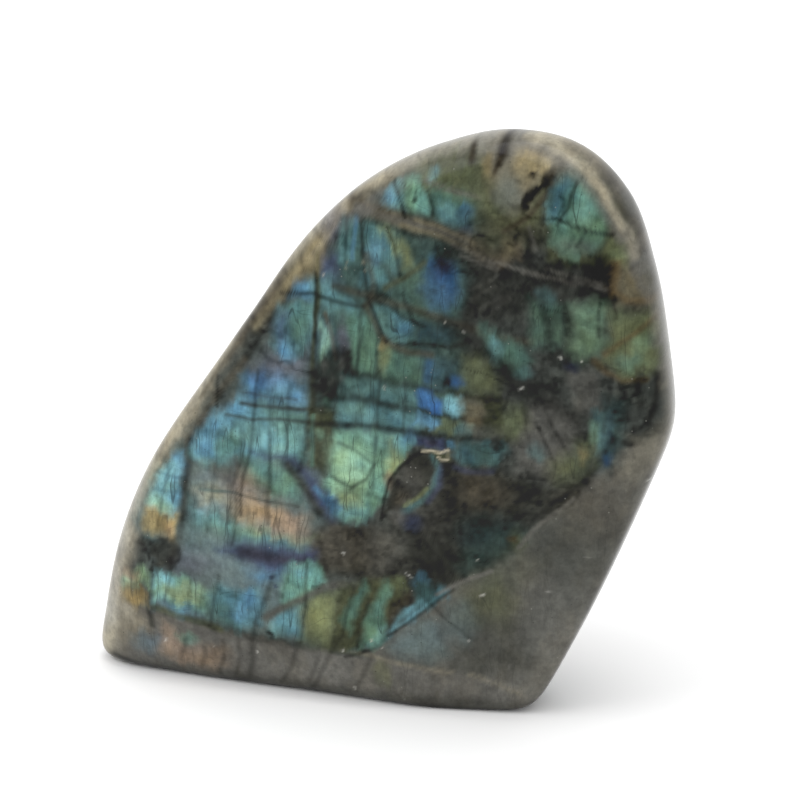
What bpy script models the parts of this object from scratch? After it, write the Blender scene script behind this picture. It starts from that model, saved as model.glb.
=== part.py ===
"""Polished labradorite freeform: a free-standing slab, ground to a flat face and cut flat underneath.

The stone is one solid, and every ray from its heart meets its surface once. Each ground surface is
measured along such a ray as a number that reaches 1 on that surface. The largest of those numbers, taken
softly, is 1 on the finished stone, and how softly is how round the ground edge between two of them is.

Metres, +Z up. The polished face looks along -Y, and the cut base rests on Z = 0.
"""

import math

import bmesh
import bpy
import numpy as np

# All sizes are in metres
HEART_X, HEART_Z = 0.006, 0.052
FACE_DEPTH = 0.0170
BACK_DEPTH = 0.0210
LEAN = math.radians(5.0)

# The girdle, the widest line round the stone: the place of each point as seen from the front, and the
# width of the bevel between it and the polished face. The base cuts off those that lie under it
GIRDLE = {
    "right corner": (0.0616, 0.0625, 0.0045),
    "right side": (0.0594, 0.0780, 0.0060),
    "right shoulder": (0.0560, 0.0920, 0.0075),
    "right brow": (0.0500, 0.1060, 0.0080),
    "crown right": (0.0398, 0.1146, 0.0075),
    "crown": (0.0270, 0.1167, 0.0060),
    "crown left": (0.0125, 0.1128, 0.0055),
    "left shoulder": (-0.0014, 0.1050, 0.0060),
    "left brow": (-0.0104, 0.0968, 0.0065),
    "left slope top": (-0.0250, 0.0765, 0.0065),
    "left slope foot": (-0.0430, 0.0490, 0.0065),
    "left knee": (-0.0524, 0.0285, 0.0085),
    "left side": (-0.0566, 0.0110, 0.0105),
    "left toe": (-0.0586, -0.0075, 0.0130),
    "under left": (-0.0400, -0.0230, 0.0090),
    "under right": (0.0100, -0.0230, 0.0050),
    "right toe": (0.0500, 0.0100, 0.0045),
}

# The straight sides that are ground from the right corner down to the base, and across the toe below it,
# each by two points of its line
LOWER_SIDES = (
    ((0.0614, 0.0600), (0.0387, 0.0000)),
    ((0.0444, 0.0165), (0.0370, 0.0010)),
)

# Facets ground across the polished face: two points of the ridge where each begins, the left one first,
# and how far it tips
CORNER_FACET = ((0.0030, 0.0130), (0.0480, 0.0540), math.radians(12.0))
FOOT_FACET = ((-0.0495, 0.0165), (0.0316, 0.0078), math.radians(20.0))

# How far the rim bevel drops for each metre of its width, and how far the face is crowned
BEVEL_PITCH = 0.70
CROWN = 0.62
CROWN_POWER = 4.0

# The back is a low dome in two tiers. Each is a line on the stone's section through two points, which are
# shares of the girdle's reach and of the back's depth
BACK_TIERS = (
    ((1.00, 0.10), (0.86, 0.66)),
    ((0.93, 0.50), (0.55, 0.97)),
)

# Keenness of the ground edges: higher is sharper
LOWER_SIDE_KEENNESS = 70.0
RIM_KEENNESS = 24.0
FACET_KEENNESS = 110.0
BACK_KEENNESS = 9.0
BASE_KEENNESS = 26.0

# The base is ground a little lower than it is cut, so the cut is flat up to its rounded edge
BASE_ALLOWANCE = 0.0003

# Slow waves that hand polishing leaves: height, and waves per metre along X, Y and Z
POLISH_WAVES = (
    (0.0022, (11.0, 23.0, 8.0), 0.4),
    (0.0016, (-19.0, 9.0, 15.0), 2.1),
    (0.0010, (27.0, -31.0, -22.0), 4.0),
)

# The mesh is spokes round the stone and rings from the middle of its face to the middle of its back. The
# rings are spread evenly between these stations, shares of the outline's reach and of the depth
SPOKES = 152
STATIONS = ((0.0, 1.0), (0.90, 1.0), (1.0, 0.68), (1.0, -0.12), (0.93, -0.55), (0.06, -1.0))
RINGS_BETWEEN = (9, 4, 5, 4, 10)

STONE_COLOR = (0.075, 0.095, 0.088, 1.0)
STONE_ROUGHNESS = 0.16


def soft_largest(keenness, *sizes):
    """The largest size at each place, rounded off where two are nearly equal, by their power sum."""
    sizes = [np.maximum(size, 0.0) for size in sizes]
    top = np.maximum(np.maximum.reduce(np.broadcast_arrays(*sizes)), 1e-9)
    return top * sum((size / top) ** keenness for size in sizes) ** (1.0 / keenness)


def closed_spline(angles, values):
    """A function of the angle: a smooth closed curve through the values, by cubic Hermite pieces."""
    order = np.argsort(angles)
    angles, values = angles[order], values[order]
    steps = (np.roll(angles, -1) - angles) % (2.0 * math.pi)
    chords = (np.roll(values, -1) - values) / steps
    before = np.roll(steps, 1)
    slopes = (np.roll(chords, 1) * steps + chords * before) / (before + steps)

    def curve(angle):
        beyond = (angle[..., None] - angles) % (2.0 * math.pi)
        i = beyond.argmin(axis=-1)
        following = (i + 1) % len(angles)
        t = beyond.min(axis=-1) / steps[i]
        return (
            values[i] * (1 + 2 * t) * (1 - t) ** 2
            + slopes[i] * steps[i] * t * (1 - t) ** 2
            + values[following] * t**2 * (3 - 2 * t)
            - slopes[following] * steps[i] * t**2 * (1 - t)
        )

    return curve


GIRDLE_X, GIRDLE_Z, BEVELS = np.array(list(GIRDLE.values())).T
GIRDLE_ANGLES = np.arctan2(GIRDLE_Z - HEART_Z, GIRDLE_X - HEART_X)
FREE_REACH = closed_spline(GIRDLE_ANGLES, np.hypot(GIRDLE_X - HEART_X, GIRDLE_Z - HEART_Z))
BEVEL_WIDTH = closed_spline(GIRDLE_ANGLES, BEVELS)


def side_line(upper, lower, angle):
    """How full the stone is in the direction of each angle by a straight side through two points."""
    (x1, z1), (x2, z2) = upper, lower
    length = math.hypot(x2 - x1, z2 - z1)
    normal_x, normal_z = (z1 - z2) / length, (x2 - x1) / length
    distance = normal_x * (x1 - HEART_X) + normal_z * (z1 - HEART_Z)
    return (normal_x * np.cos(angle) + normal_z * np.sin(angle)) / distance


def girdle_reach(angle):
    """Distance from the heart to the girdle, where the smooth outline meets the straight lower sides."""
    sides = [side_line(*points, angle) for points in LOWER_SIDES]
    return 1.0 / soft_largest(LOWER_SIDE_KEENNESS, 1.0 / FREE_REACH(angle), *sides)


def outline_reach(angle):
    """Distance from the heart to the stone's outline seen from the front, which the base cuts off."""
    return 1.0 / soft_largest(BASE_KEENNESS, 1.0 / girdle_reach(angle), -np.sin(angle) / HEART_Z)


def facet_plane(ridge_start, ridge_end, tip):
    """A facet that leaves the face at a ridge: its outward normal over its distance from the heart."""
    along_x, along_z = ridge_end[0] - ridge_start[0], ridge_end[1] - ridge_start[1]
    sideways = math.sin(tip) / math.hypot(along_x, along_z)
    normal = np.array((sideways * along_z, -math.cos(tip), -sideways * along_x))
    start = np.array((ridge_start[0] - HEART_X, -FACE_DEPTH, ridge_start[1] - HEART_Z))
    return normal / (normal @ start)


def line_through(first, second):
    """The weights (p, q) for which p * reach share + q * depth share is 1 at both points."""
    (a1, b1), (a2, b2) = first, second
    det = a1 * b2 - a2 * b1
    return (b2 - b1) / det, (a1 - a2) / det


def fullness(directions):
    """How full the stone is in each direction from its heart: 1 over the distance to its surface."""
    x, y, z = np.moveaxis(directions, -1, 0)
    angle = np.arctan2(z, x)
    reach = girdle_reach(angle)
    out = np.hypot(x, z) / reach
    front = -y / FACE_DEPTH
    back = y / BACK_DEPTH

    step = 1e-3
    slope = (girdle_reach(angle + step) - girdle_reach(angle - step)) / (2 * step)
    width = BEVEL_WIDTH(angle)
    inset = width * np.hypot(reach, slope) / reach**2
    drop = width * BEVEL_PITCH / FACE_DEPTH
    p, q = line_through((1.0 - inset, 1.0), (1.0, 1.0 - drop))
    bevel = p * out + q * front

    crowned = soft_largest(CROWN_POWER, front, CROWN * out)
    facets = [directions @ facet_plane(*facet) for facet in (CORNER_FACET, FOOT_FACET)]
    face = soft_largest(FACET_KEENNESS, crowned, *facets)
    tiers = [line_through(*tier) for tier in BACK_TIERS]
    dome = soft_largest(BACK_KEENNESS, back, *(tp * out + tq * back for tp, tq in tiers))
    body = soft_largest(RIM_KEENNESS, out, face, bevel, dome)
    base = -z / (HEART_Z + BASE_ALLOWANCE)
    return soft_largest(BASE_KEENNESS, body, base)


def surface(directions):
    """The stone's surface points in these directions from its heart, leaned back and cut at the base."""
    points = directions / fullness(directions)[..., None]
    swell = np.ones(points.shape[:-1])
    for height, waves, phase in POLISH_WAVES:
        swell += height * np.sin(2.0 * math.pi * (points @ np.array(waves)) + phase)
    points *= swell[..., None]
    points[..., 1] += points[..., 2] * math.tan(LEAN)
    points += (HEART_X, 0.0, HEART_Z)
    points[..., 2] = np.maximum(points[..., 2], 0.0)
    return points


def spoke_angles():
    """Angles about the heart that part the stone's outline into equal lengths."""
    angles = np.linspace(0.0, 2.0 * math.pi, 4001)
    reach = outline_reach(angles)
    steps = np.hypot(np.diff(reach * np.cos(angles)), np.diff(reach * np.sin(angles)))
    lengths = np.concatenate(([0.0], np.cumsum(steps)))
    return np.interp(np.arange(SPOKES) * lengths[-1] / SPOKES, lengths, angles)


def ring_places():
    """The rings' places on the stone's section: shares of the outline's reach and of the depth."""
    marks = np.concatenate(([0], np.cumsum(RINGS_BETWEEN)))
    ring = np.arange(1, marks[-1] + 1)
    outs, depths = np.array(STATIONS).T
    return np.interp(ring, marks, outs), np.interp(ring, marks, depths)


def directions_to(outs, depths, angles):
    """Directions from the heart to these places, given as shares, at these angles."""
    reach = outs * outline_reach(angles)
    y = -depths * np.where(depths > 0.0, FACE_DEPTH, BACK_DEPTH)
    return np.stack((reach * np.cos(angles), y, reach * np.sin(angles)), axis=-1)


def stone_mesh():
    """The stone: rings of quads round it, closed by a fan in the middle of the face and of the back."""
    outs, depths = ring_places()
    angles = np.broadcast_to(spoke_angles(), (len(outs), SPOKES))
    points = surface(directions_to(outs[:, None], depths[:, None] * np.ones_like(angles), angles))
    middles = surface(np.array(((0.0, -FACE_DEPTH, 0.0), (0.0, BACK_DEPTH, 0.0))))
    corners = np.concatenate((points.reshape(-1, 3), middles))
    centre = (corners.min(axis=0) + corners.max(axis=0)) / 2 * (1.0, 1.0, 0.0)

    mesh = bmesh.new()
    rings = [[mesh.verts.new(point) for point in ring] for ring in points - centre]
    face_middle, back_middle = (mesh.verts.new(point) for point in middles - centre)
    for i in range(SPOKES):
        j = (i + 1) % SPOKES
        mesh.faces.new((face_middle, rings[0][i], rings[0][j]))
        mesh.faces.new((back_middle, rings[-1][j], rings[-1][i]))
        for inner, outer in zip(rings, rings[1:]):
            mesh.faces.new((inner[i], outer[i], outer[j], inner[j]))
    return mesh


def join_base(mesh):
    """Makes the cut base one flat face."""
    flat = [face for face in mesh.faces if max(vert.co.z for vert in face.verts) <= 0.0]
    bmesh.ops.dissolve_faces(mesh, faces=flat, use_verts=True)
    bmesh.ops.recalc_face_normals(mesh, faces=mesh.faces)


def stone_material():
    """Dark, greenish, polished feldspar."""
    material = bpy.data.materials.new("labradorite")
    material.use_nodes = True
    shader = material.node_tree.nodes["Principled BSDF"]
    shader.inputs["Base Color"].default_value = STONE_COLOR
    shader.inputs["Roughness"].default_value = STONE_ROUGHNESS
    shader.inputs["Metallic"].default_value = 0.0
    return material


def build():
    """Clears the scene and makes the stone."""
    for old in list(bpy.data.objects):
        bpy.data.objects.remove(old)
    mesh = stone_mesh()
    join_base(mesh)
    data = bpy.data.meshes.new("labradorite")
    mesh.to_mesh(data)
    mesh.free()
    stone = bpy.data.objects.new("labradorite", data)
    bpy.context.scene.collection.objects.link(stone)
    data.materials.append(stone_material())
    data.shade_smooth()
    data.set_sharp_from_angle(angle=math.radians(40.0))
    return stone


build()
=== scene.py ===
"""Looks of the polished labradorite freeform: a stone with a fine skin, its markings and a white studio.

The skin repeats the solid's own formula on a finer net. The markings are laid on its points one over the
last, as zones, spots and seams placed in millimetres across the stone and up from its base. Finer
cracks, streaks and specks are nodes in the finish.
"""

from __future__ import annotations

import logging
import math
from collections.abc import Callable
from dataclasses import dataclass, field
from enum import Enum

import bpy
import numpy as np
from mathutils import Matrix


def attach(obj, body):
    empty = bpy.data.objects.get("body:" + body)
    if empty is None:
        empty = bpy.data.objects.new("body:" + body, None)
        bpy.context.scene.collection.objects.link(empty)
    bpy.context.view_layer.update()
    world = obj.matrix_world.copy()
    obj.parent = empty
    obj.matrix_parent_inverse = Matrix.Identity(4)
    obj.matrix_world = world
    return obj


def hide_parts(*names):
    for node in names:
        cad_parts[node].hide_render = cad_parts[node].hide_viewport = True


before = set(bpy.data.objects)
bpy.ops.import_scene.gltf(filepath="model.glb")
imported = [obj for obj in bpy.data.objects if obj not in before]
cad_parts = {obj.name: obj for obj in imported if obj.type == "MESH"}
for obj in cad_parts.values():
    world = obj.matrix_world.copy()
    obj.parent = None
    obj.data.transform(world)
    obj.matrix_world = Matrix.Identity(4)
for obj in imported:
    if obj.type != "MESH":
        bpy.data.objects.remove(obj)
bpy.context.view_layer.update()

LOG = logging.getLogger("labradorite")
MM = 0.001


class Hue(Enum):
    """The stone's colours in soft light, as sRGB from 0 to 255, and how much of each is flash."""

    INK = (30, 30, 28, 0.0)
    ASH = (52, 53, 48, 0.0)
    SLATE = (72, 76, 72, 0.0)
    DUSK = (64, 84, 79, 0.4)
    MIST = (94, 108, 107, 0.4)
    STONE = (86, 86, 81, 0.0)
    FOG = (100, 99, 94, 0.0)
    BARK = (78, 72, 60, 0.0)
    UMBER = (96, 82, 58, 0.1)
    SAND = (152, 141, 110, 0.0)
    BONE = (152, 146, 128, 0.0)
    PLUM = (70, 68, 80, 0.1)
    OLIVE = (78, 82, 60, 0.2)
    MOSS = (108, 116, 84, 0.7)
    LIME = (140, 152, 112, 1.0)
    MINT = (135, 170, 142, 1.0)
    SEA = (100, 138, 122, 1.0)
    TEAL = (104, 146, 148, 1.0)
    AQUA = (126, 178, 188, 1.0)
    AZURE = (92, 134, 158, 1.0)
    COBALT = (54, 90, 134, 1.0)
    INDIGO = (64, 71, 96, 0.5)
    GOLD = (170, 152, 106, 1.0)
    PEACH = (142, 124, 106, 0.8)
    PALE = (205, 205, 198, 0.0)

    @property
    def linear(self) -> np.ndarray:
        """The colour in linear light."""
        share = np.array(self.value[:3]) / 255.0
        return np.where(share <= 0.04045, share / 12.92, ((share + 0.055) / 1.055) ** 2.4)

    @property
    def flash(self) -> float:
        """How much of the colour is flash, from 0 to 1."""
        return self.value[3]


def smooth_step(share: np.ndarray) -> np.ndarray:
    """The curve 3t^2 - 2t^3 between 0 and 1.

    Args:
        share: Places on the curve; those outside 0 to 1 are moved to its ends.

    Returns:
        Heights of the curve.
    """
    share = np.clip(share, 0.0, 1.0)
    return share * share * (3.0 - 2.0 * share)


def value_noise(x: np.ndarray, z: np.ndarray, pitch: float, seed: int) -> np.ndarray:
    """Smooth noise: a value at each corner of a square lattice, from a sine's far decimals, blended between.

    Args:
        x: Places across the stone.
        z: Places up the stone.
        pitch: Spacing of the lattice, in the places' unit.
        seed: Which noise of its kind it is.

    Returns:
        Values from -1 to 1.
    """
    across, up = x / pitch + 17.3 * seed, z / pitch - 9.1 * seed
    column, row = np.floor(across), np.floor(up)
    s, t = smooth_step(across - column), smooth_step(up - row)

    def corner(i: np.ndarray, j: np.ndarray) -> np.ndarray:
        """The lattice's value at a corner."""
        value = np.sin(i * 127.1 + j * 311.7 + seed * 74.7) * 43758.5453
        return 2.0 * (value - np.floor(value)) - 1.0

    low = corner(column, row) * (1 - s) + corner(column + 1, row) * s
    high = corner(column, row + 1) * (1 - s) + corner(column + 1, row + 1) * s
    return low * (1 - t) + high * t


def line_distance(x: np.ndarray, z: np.ndarray, points: tuple, closed: bool) -> np.ndarray:
    """Distance from each place to the nearest of the straight pieces between the points.

    Args:
        x: Places across the stone.
        z: Places up the stone.
        points: The line's points, as (x, z).
        closed: Whether the last point joins the first.

    Returns:
        Distances, in the places' unit.
    """
    nearest = np.full(x.shape, np.inf)
    following = points[1:] + (points[:1] if closed else ())
    for (x1, z1), (x2, z2) in zip(points, following):
        run, rise = x2 - x1, z2 - z1
        share = np.clip(((x - x1) * run + (z - z1) * rise) / (run * run + rise * rise), 0.0, 1.0)
        nearest = np.minimum(nearest, (x - x1 - share * run) ** 2 + (z - z1 - share * rise) ** 2)
    return np.sqrt(nearest)


def is_inside(x: np.ndarray, z: np.ndarray, corners: tuple) -> np.ndarray:
    """Whether each place is inside a closed outline: a ray to its right crosses it an odd number of times.

    Args:
        x: Places across the stone.
        z: Places up the stone.
        corners: The outline's corners, as (x, z).

    Returns:
        True where a place is inside.
    """
    odd = np.zeros(x.shape, bool)
    for (x1, z1), (x2, z2) in zip(corners, corners[1:] + corners[:1]):
        if z1 != z2:
            odd ^= ((z1 > z) != (z2 > z)) & (x < x1 + (z - z1) * (x2 - x1) / (z2 - z1))
    return odd


class Paint:
    """Colours and masks on points of the stone, laid on one marking over the last.

    Places are in millimetres. Edges wander with a noise of three sizes, so that outlines given by a few
    corners break up as natural ones do. A flash is broken into upright slivers along the cleavage as well:
    each sliver's piece of it lies a little higher or lower than its neighbour's.

    A marking is given as its colour, what that colour's brightness is multiplied by, how much it hides of
    what lies under it, how soft or wide it is, and its points.
    """

    WANDER = ((3.1, 0.50), (1.3, 0.30), (0.6, 0.18))
    SLIVER_WIDTH = 1.9
    SLIVER_LENGTH = 11.0
    SLIVER_SHIFT = 0.9
    LEAST_FLASH = 0.6
    CRACK_WIDTH = 0.75

    def __init__(self, x: np.ndarray, z: np.ndarray, ground: Hue) -> None:
        """Starts with one colour everywhere.

        Args:
            x: Places across the stone.
            z: Places up the stone.
            ground: The colour that shows where nothing is laid.
        """
        self.true_x, self.true_z = x, z
        self.x = x + self.wander(x, z, 1)
        self.z = z + self.wander(x, z, 5)
        self.slivers = self.sliver_values(x, z)
        self.jagged_z = self.z + self.SLIVER_SHIFT * self.slivers
        self.calm_x = x + 0.45 * value_noise(x, z, 7.0, 11) + 0.12 * value_noise(x, z, 1.9, 12)
        self.calm_z = z + 0.45 * value_noise(x, z, 7.0, 13) + 0.12 * value_noise(x, z, 1.9, 14)
        self.color = np.tile(ground.linear, (len(x), 1))
        self.flash = np.full(len(x), ground.flash)
        self.calm = np.zeros(len(x))

    def wander(self, x: np.ndarray, z: np.ndarray, seed: int) -> np.ndarray:
        """How far each place wanders: the sum of three noises, with seeds from the one given on."""
        layers = enumerate(self.WANDER, seed)
        return sum(height * value_noise(x, z, pitch, each) for each, (pitch, height) in layers)

    def sliver_values(self, x: np.ndarray, z: np.ndarray) -> np.ndarray:
        """A value for each upright sliver: one for each column, changing slowly along it.

        Args:
            x: Places across the stone.
            z: Places up the stone.

        Returns:
            Values from -1 to 1.
        """
        across = x + 0.012 * z + 1.1 * value_noise(x, z, 9.0, 11) + 0.25 * value_noise(x, z, 2.1, 12)
        column = np.floor(across / self.SLIVER_WIDTH)
        return value_noise(column * 7.31 + 0.5, z / self.SLIVER_LENGTH + column * 0.37, 1.0, 13)

    def near(self, points: tuple, margin: float) -> np.ndarray:
        """The numbers of the places within a margin of the points' box."""
        (left, low), (right, high) = np.min(points, axis=0) - margin, np.max(points, axis=0) + margin
        return np.flatnonzero((self.x > left) & (self.x < right) & (self.z > low) & (self.z < high))

    def lay(self, hue: Hue, light: float, cover: float, places: np.ndarray, share: np.ndarray) -> None:
        """Mixes a colour in, in linear light.

        Args:
            hue: The colour.
            light: What its brightness is multiplied by.
            cover: How much it hides where it is fullest.
            places: The numbers of the places that it may reach.
            share: How far each of those is inside it, from 0 to 1.
        """
        share = cover * smooth_step(share)
        self.color[places] += share[:, None] * (hue.linear * light - self.color[places])
        self.flash[places] += share * (hue.flash - self.flash[places])

    def height_for(self, hue: Hue, places: np.ndarray) -> np.ndarray:
        """The heights of places, set off by slivers where the colour is a flash."""
        return np.where(hue.flash > self.LEAST_FLASH, self.jagged_z[places], self.z[places])

    def zone(self, hue: Hue, light: float, cover: float, soft: float, *corners: tuple) -> None:
        """Lays a zone inside an outline.

        Args:
            hue: The colour.
            light: What its brightness is multiplied by.
            cover: How much it hides.
            soft: Half the width of its fading edge.
            corners: The outline's corners, as (x, z).
        """
        soft *= 1.0 + 0.5 * hue.flash
        places = self.near(corners, soft + self.SLIVER_SHIFT)
        x, z = self.x[places], self.height_for(hue, places)
        depth = line_distance(x, z, corners, True)
        depth = np.where(is_inside(x, z, corners), depth, -depth)
        self.lay(hue, light, cover, places, 0.5 + 0.5 * depth / soft)

    def spot(self, hue: Hue, light: float, cover: float, soft: float, x: float, z: float, wide: float,
             high: float) -> None:
        """Lays an oval.

        Args:
            hue: The colour.
            light: What its brightness is multiplied by.
            cover: How much it hides.
            soft: Half the width of its fading edge.
            x: Its middle, across the stone.
            z: Its middle, up the stone.
            wide: Half its width.
            high: Half its height.
        """
        margin = soft * max(wide, high) / min(wide, high) + self.SLIVER_SHIFT
        places = self.near(((x - wide, z - high), (x + wide, z + high)), margin)
        out = np.hypot((self.x[places] - x) / wide, (self.height_for(hue, places) - z) / high)
        self.lay(hue, light, cover, places, 0.5 + 0.5 * (1.0 - out) * min(wide, high) / soft)

    def seam(self, hue: Hue, light: float, cover: float, width: float, *points: tuple) -> None:
        """Lays a band with soft edges along a line.

        Args:
            hue: The colour.
            light: What its brightness is multiplied by.
            cover: How much it hides.
            width: Its width.
            points: The line's points, as (x, z).
        """
        places = self.near(points, width + 1.0)
        away = line_distance(self.calm_x[places], self.calm_z[places], points, False)
        self.lay(hue, light, cover, places, 0.5 + (0.5 * width - away) / (0.9 * width))

    def quiet(self, soft: float, *corners: tuple) -> None:
        """Marks a zone where little of the weather shows.

        Args:
            soft: Half the width of its fading edge.
            corners: The outline's corners, as (x, z).
        """
        places = self.near(corners, soft)
        x, z = self.x[places], self.z[places]
        depth = line_distance(x, z, corners, True) * np.where(is_inside(x, z, corners), 1.0, -1.0)
        self.calm[places] = np.maximum(self.calm[places], smooth_step(0.5 + 0.5 * depth / soft))

    def crack(self, cover: float, *points: tuple) -> None:
        """Lays a fine dark crack along a line."""
        self.seam(Hue.INK, 1.1, 0.85 * cover, self.CRACK_WIDTH, *points)

    def weather(self) -> None:
        """Breaks up what is laid: slivers brighter and darker by turns, dark veins and smoky clouds.

        A vein runs where a noise passes through 0, and a cloud lies where one is low.
        """
        x, z = self.true_x, self.true_z
        light = 1.0 + 0.15 * self.flash * self.slivers
        smoke = value_noise(self.x, self.z, 6.5, 31) + 0.5 * value_noise(x, z, 2.7, 32)
        smoke += 0.3 * value_noise(x, z, 1.1, 33)
        light *= 1.0 - (0.10 + 0.26 * self.flash) * smooth_step(0.1 - 1.3 * smoke)
        slant = value_noise(0.35 * x + z, 0.2 * (x - z), 1.7, 44)
        slant += 0.6 * value_noise(x + 0.4 * z, 0.25 * z, 1.3, 45)
        light *= 1.0 - 0.22 * smooth_step(1.4 * slant - 0.2)
        vein = value_noise((0.97 * x - 0.26 * z) / 3.2, 0.26 * x + 0.97 * z, 4.2, 46)
        vein += 0.2 * value_noise(x, z, 2.0, 47)
        here = smooth_step(value_noise(x, z, 9.0, 48) + 0.6) * smooth_step((z - 56.0) / 14.0)
        light *= 1.0 - 0.42 * here * smooth_step(1.0 - np.abs(vein) / 0.10)
        blotch = value_noise(self.x, self.z, 2.2, 36) + 0.7 * value_noise(x, z, 0.9, 37)
        light = 1.0 + (light - 1.0) * (1.0 - 0.75 * self.calm)
        grain = value_noise(self.x, z, 2.6, 41) + 0.8 * value_noise(x, self.z, 1.2, 42)
        grain += 0.9 * value_noise(x, z, 0.6, 43)
        rough = (1.0 - 0.85 * self.calm) * (1.0 - self.flash)
        rough *= smooth_step(1.5 - 12.0 * self.color.mean(axis=1))
        light *= 1.0 + (0.05 + 0.25 * rough) * grain
        light *= 1.0 - (0.08 + 0.34 * rough) * smooth_step(2.2 * blotch - 0.9)
        tint = self.flash * (value_noise(x, self.z, 4.2, 51) + 0.4 * value_noise(x, z, 1.5, 52))
        self.color *= light[:, None] * (1.0 + tint[:, None] * (0.12, 0.03, -0.13))
        self.color *= (self.color.mean(axis=1, keepdims=True) / 0.13) ** 0.08


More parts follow.
